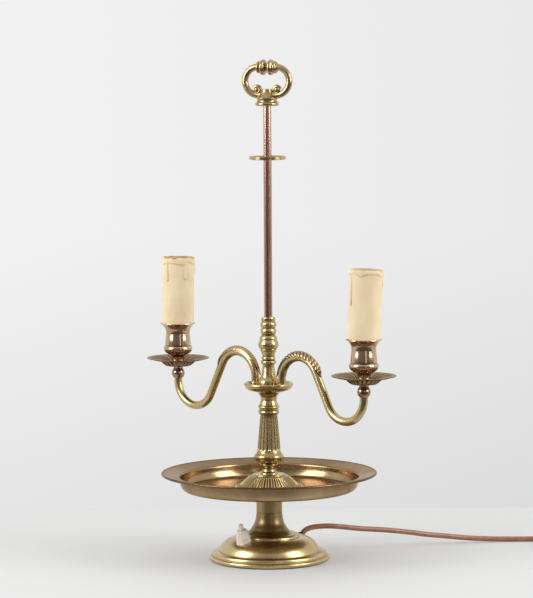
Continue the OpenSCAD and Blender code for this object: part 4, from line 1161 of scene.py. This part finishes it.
make_foot()
make_collar()
make_tray()
make_rosette()
make_column()
make_hub()
make_baluster()
make_rod()
make_shade_disc()
make_handle()
make_arm(1, "right", 0.0)
make_arm(-1, "left", 0.8)
make_light(1, "right")
make_light(-1, "left")
make_candle(1, "right", RIGHT_LEAN, RIGHT_DRIPS, 4.2, 0.3)
make_candle(-1, "left", LEFT_LEAN, LEFT_DRIPS, 5.4, 0.9)
make_switch()
make_grommet()

# ---- Nodes that keep their own shape -------------------------------------------------

FINISHES = {
    "bottom_plate": STEEL, "felt_pad": FELT, "foot_weight": IRON, "tie_tube": STEEL,
    "tie_washer": STEEL, "tie_nut": PLAIN_BRASS, "switch_body": BLACK, "terminal_block": IVORY,
    "switch_leads": WIRE, "cord_inner": CORD, "plug_body": CORD, "plug_pins": STEEL,
    "nipple": STEEL, "holder": IVORY, "insert": CERAMIC, "shell": PLAIN_BRASS, "wire": WIRE,
}


def finish_nodes():
    for name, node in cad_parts.items():
        if node.hide_render:
            continue
        plain = name.removeprefix("left_").removeprefix("right_")
        node.data.materials.clear()
        node.data.materials.append(FINISHES[plain])


finish_nodes()

# ---- Floor, backdrop and lamps -------------------------------------------------------

FLOOR_GREY = 0.52
FLOOR_GLOW = 0.16  # part of the pale floor that only camera and mirror rays see
FLOOR_BACK = 0.285  # the floor ends this far behind the lamp, in metres
ROOM_FRONT = 0.19  # light of the room behind the camera, at the sides and behind the lamp
ROOM_BACK = 0.85
AWAY = camera_side(1.0, height=0) / MM  # from the lamp towards the camera


def camera_ways(m):
    """A socket that is 1 for camera, glossy and transmission rays, and one for glossy alone."""
    path = m.new("ShaderNodeLightPath").outputs
    seen = m.maths("MAXIMUM", path["Is Camera Ray"], path["Is Glossy Ray"])
    return m.maths("MAXIMUM", seen, path["Is Transmission Ray"]), path["Is Glossy Ray"]


def make_floor():
    """A pale table top. Its far edge is the line behind the lamp in the picture."""
    size = 6.0
    side = Vector((AWAY.y, -AWAY.x, 0))
    near, far = AWAY * size, -AWAY * FLOOR_BACK
    corners = [far + side * size, far - side * size, near - side * size, near + side * size]
    mesh = bpy.data.meshes.new("floor")
    mesh.from_pydata(corners, [], [(0, 1, 2, 3)])
    floor = add_object("floor", mesh)
    m = Nodes(bpy.data.materials.new("floor"))
    seen, mirrored = camera_ways(m)
    # the room is dark beyond the front of the table, which only reflections reach
    beyond = m.fit(m.along(m.place(), AWAY), 0.1, 0.27, 0.0, 0.95)
    dark = m.maths("MULTIPLY", beyond, mirrored)
    grey = (FLOOR_GREY, FLOOR_GREY, FLOOR_GREY * 0.995, 1)
    m.set(Base_Color=m.mix(dark, grey, (0.05, 0.045, 0.04, 1)), Roughness=0.7)
    m.set(Specular_IOR_Level=0.2, Emission_Color=(1, 1, 1, 1))
    glow = m.maths("MULTIPLY", seen, m.maths("SUBTRACT", 1.0, dark))
    m.set(Emission_Strength=m.maths("MULTIPLY", glow, FLOOR_GLOW))
    mesh.materials.append(m.owner)


def make_world():
    """A pale wall for the camera, and for light and mirrors a room that is dark in front."""
    world = bpy.data.worlds.new("studio")
    bpy.context.scene.world = world
    w = Nodes(world)
    w.tree.nodes.clear()
    way = w.new("ShaderNodeTexCoord").outputs["Generated"]

    def shine(strength):
        node = w.new("ShaderNodeBackground")
        node.inputs["Color"].default_value = (1, 1, 1, 1)
        w.link(strength, node.inputs["Strength"])
        return node.outputs["Background"]

    dark_side = (AWAY - Vector((0, 0, 0.55))).normalized()
    room = w.fit(w.along(way, dark_side), -0.35, 0.85, ROOM_BACK, ROOM_FRONT, "SMOOTHSTEP")
    # the wall is paler on the left than on the right, and higher up
    across = w.fit(w.along(way, Vector((AWAY.y, -AWAY.x, 0))), -0.08, 0.08, -0.035, 0.03)
    up = w.fit(w.along(way, Vector((0, 0, 1))), -0.16, -0.07, 0.748, 0.858)
    out = w.new("ShaderNodeOutputWorld")
    mix = w.new("ShaderNodeMixShader")
    path = w.new("ShaderNodeLightPath")
    w.link(path.outputs["Is Camera Ray"], mix.inputs["Fac"])
    w.link(shine(room), mix.inputs[1])
    w.link(shine(w.maths("ADD", up, across)), mix.inputs[2])
    w.link(mix.outputs["Shader"], out.inputs["Surface"])


def make_lamp(name, away, azimuth_off, height, width, tall, power, colour=(1, 1, 1)):
    """A flat lamp at an angle in degrees from the camera's side, aimed at the column."""
    data = bpy.data.lights.new(name, "AREA")
    data.shape = "RECTANGLE"
    data.size = width * MM
    data.size_y = tall * MM
    data.energy = power
    data.color = colour
    lamp = add_object(name, data)
    lamp.location = camera_side(away, math.radians(azimuth_off), height)
    aim = Vector((0, 0, 0.2)) - lamp.location
    lamp.rotation_euler = aim.to_track_quat("-Z", "Y").to_euler()
    lamp.visible_camera = False


make_floor()
make_world()
# two soft boxes at the sides give each round form its pair of highlights, and a narrow warm
# light between them its thin middle line
make_lamp("box_left", 1400, -67, 800, 760, 1000, 15.5)
make_lamp("box_right", 1400, 65, 800, 720, 1000, 13.4)
make_lamp("doorway", 1400, 20, 420, 70, 760, 0.55, (1, 0.7, 0.56))
bpy.context.scene.view_settings.view_transform = "Standard"
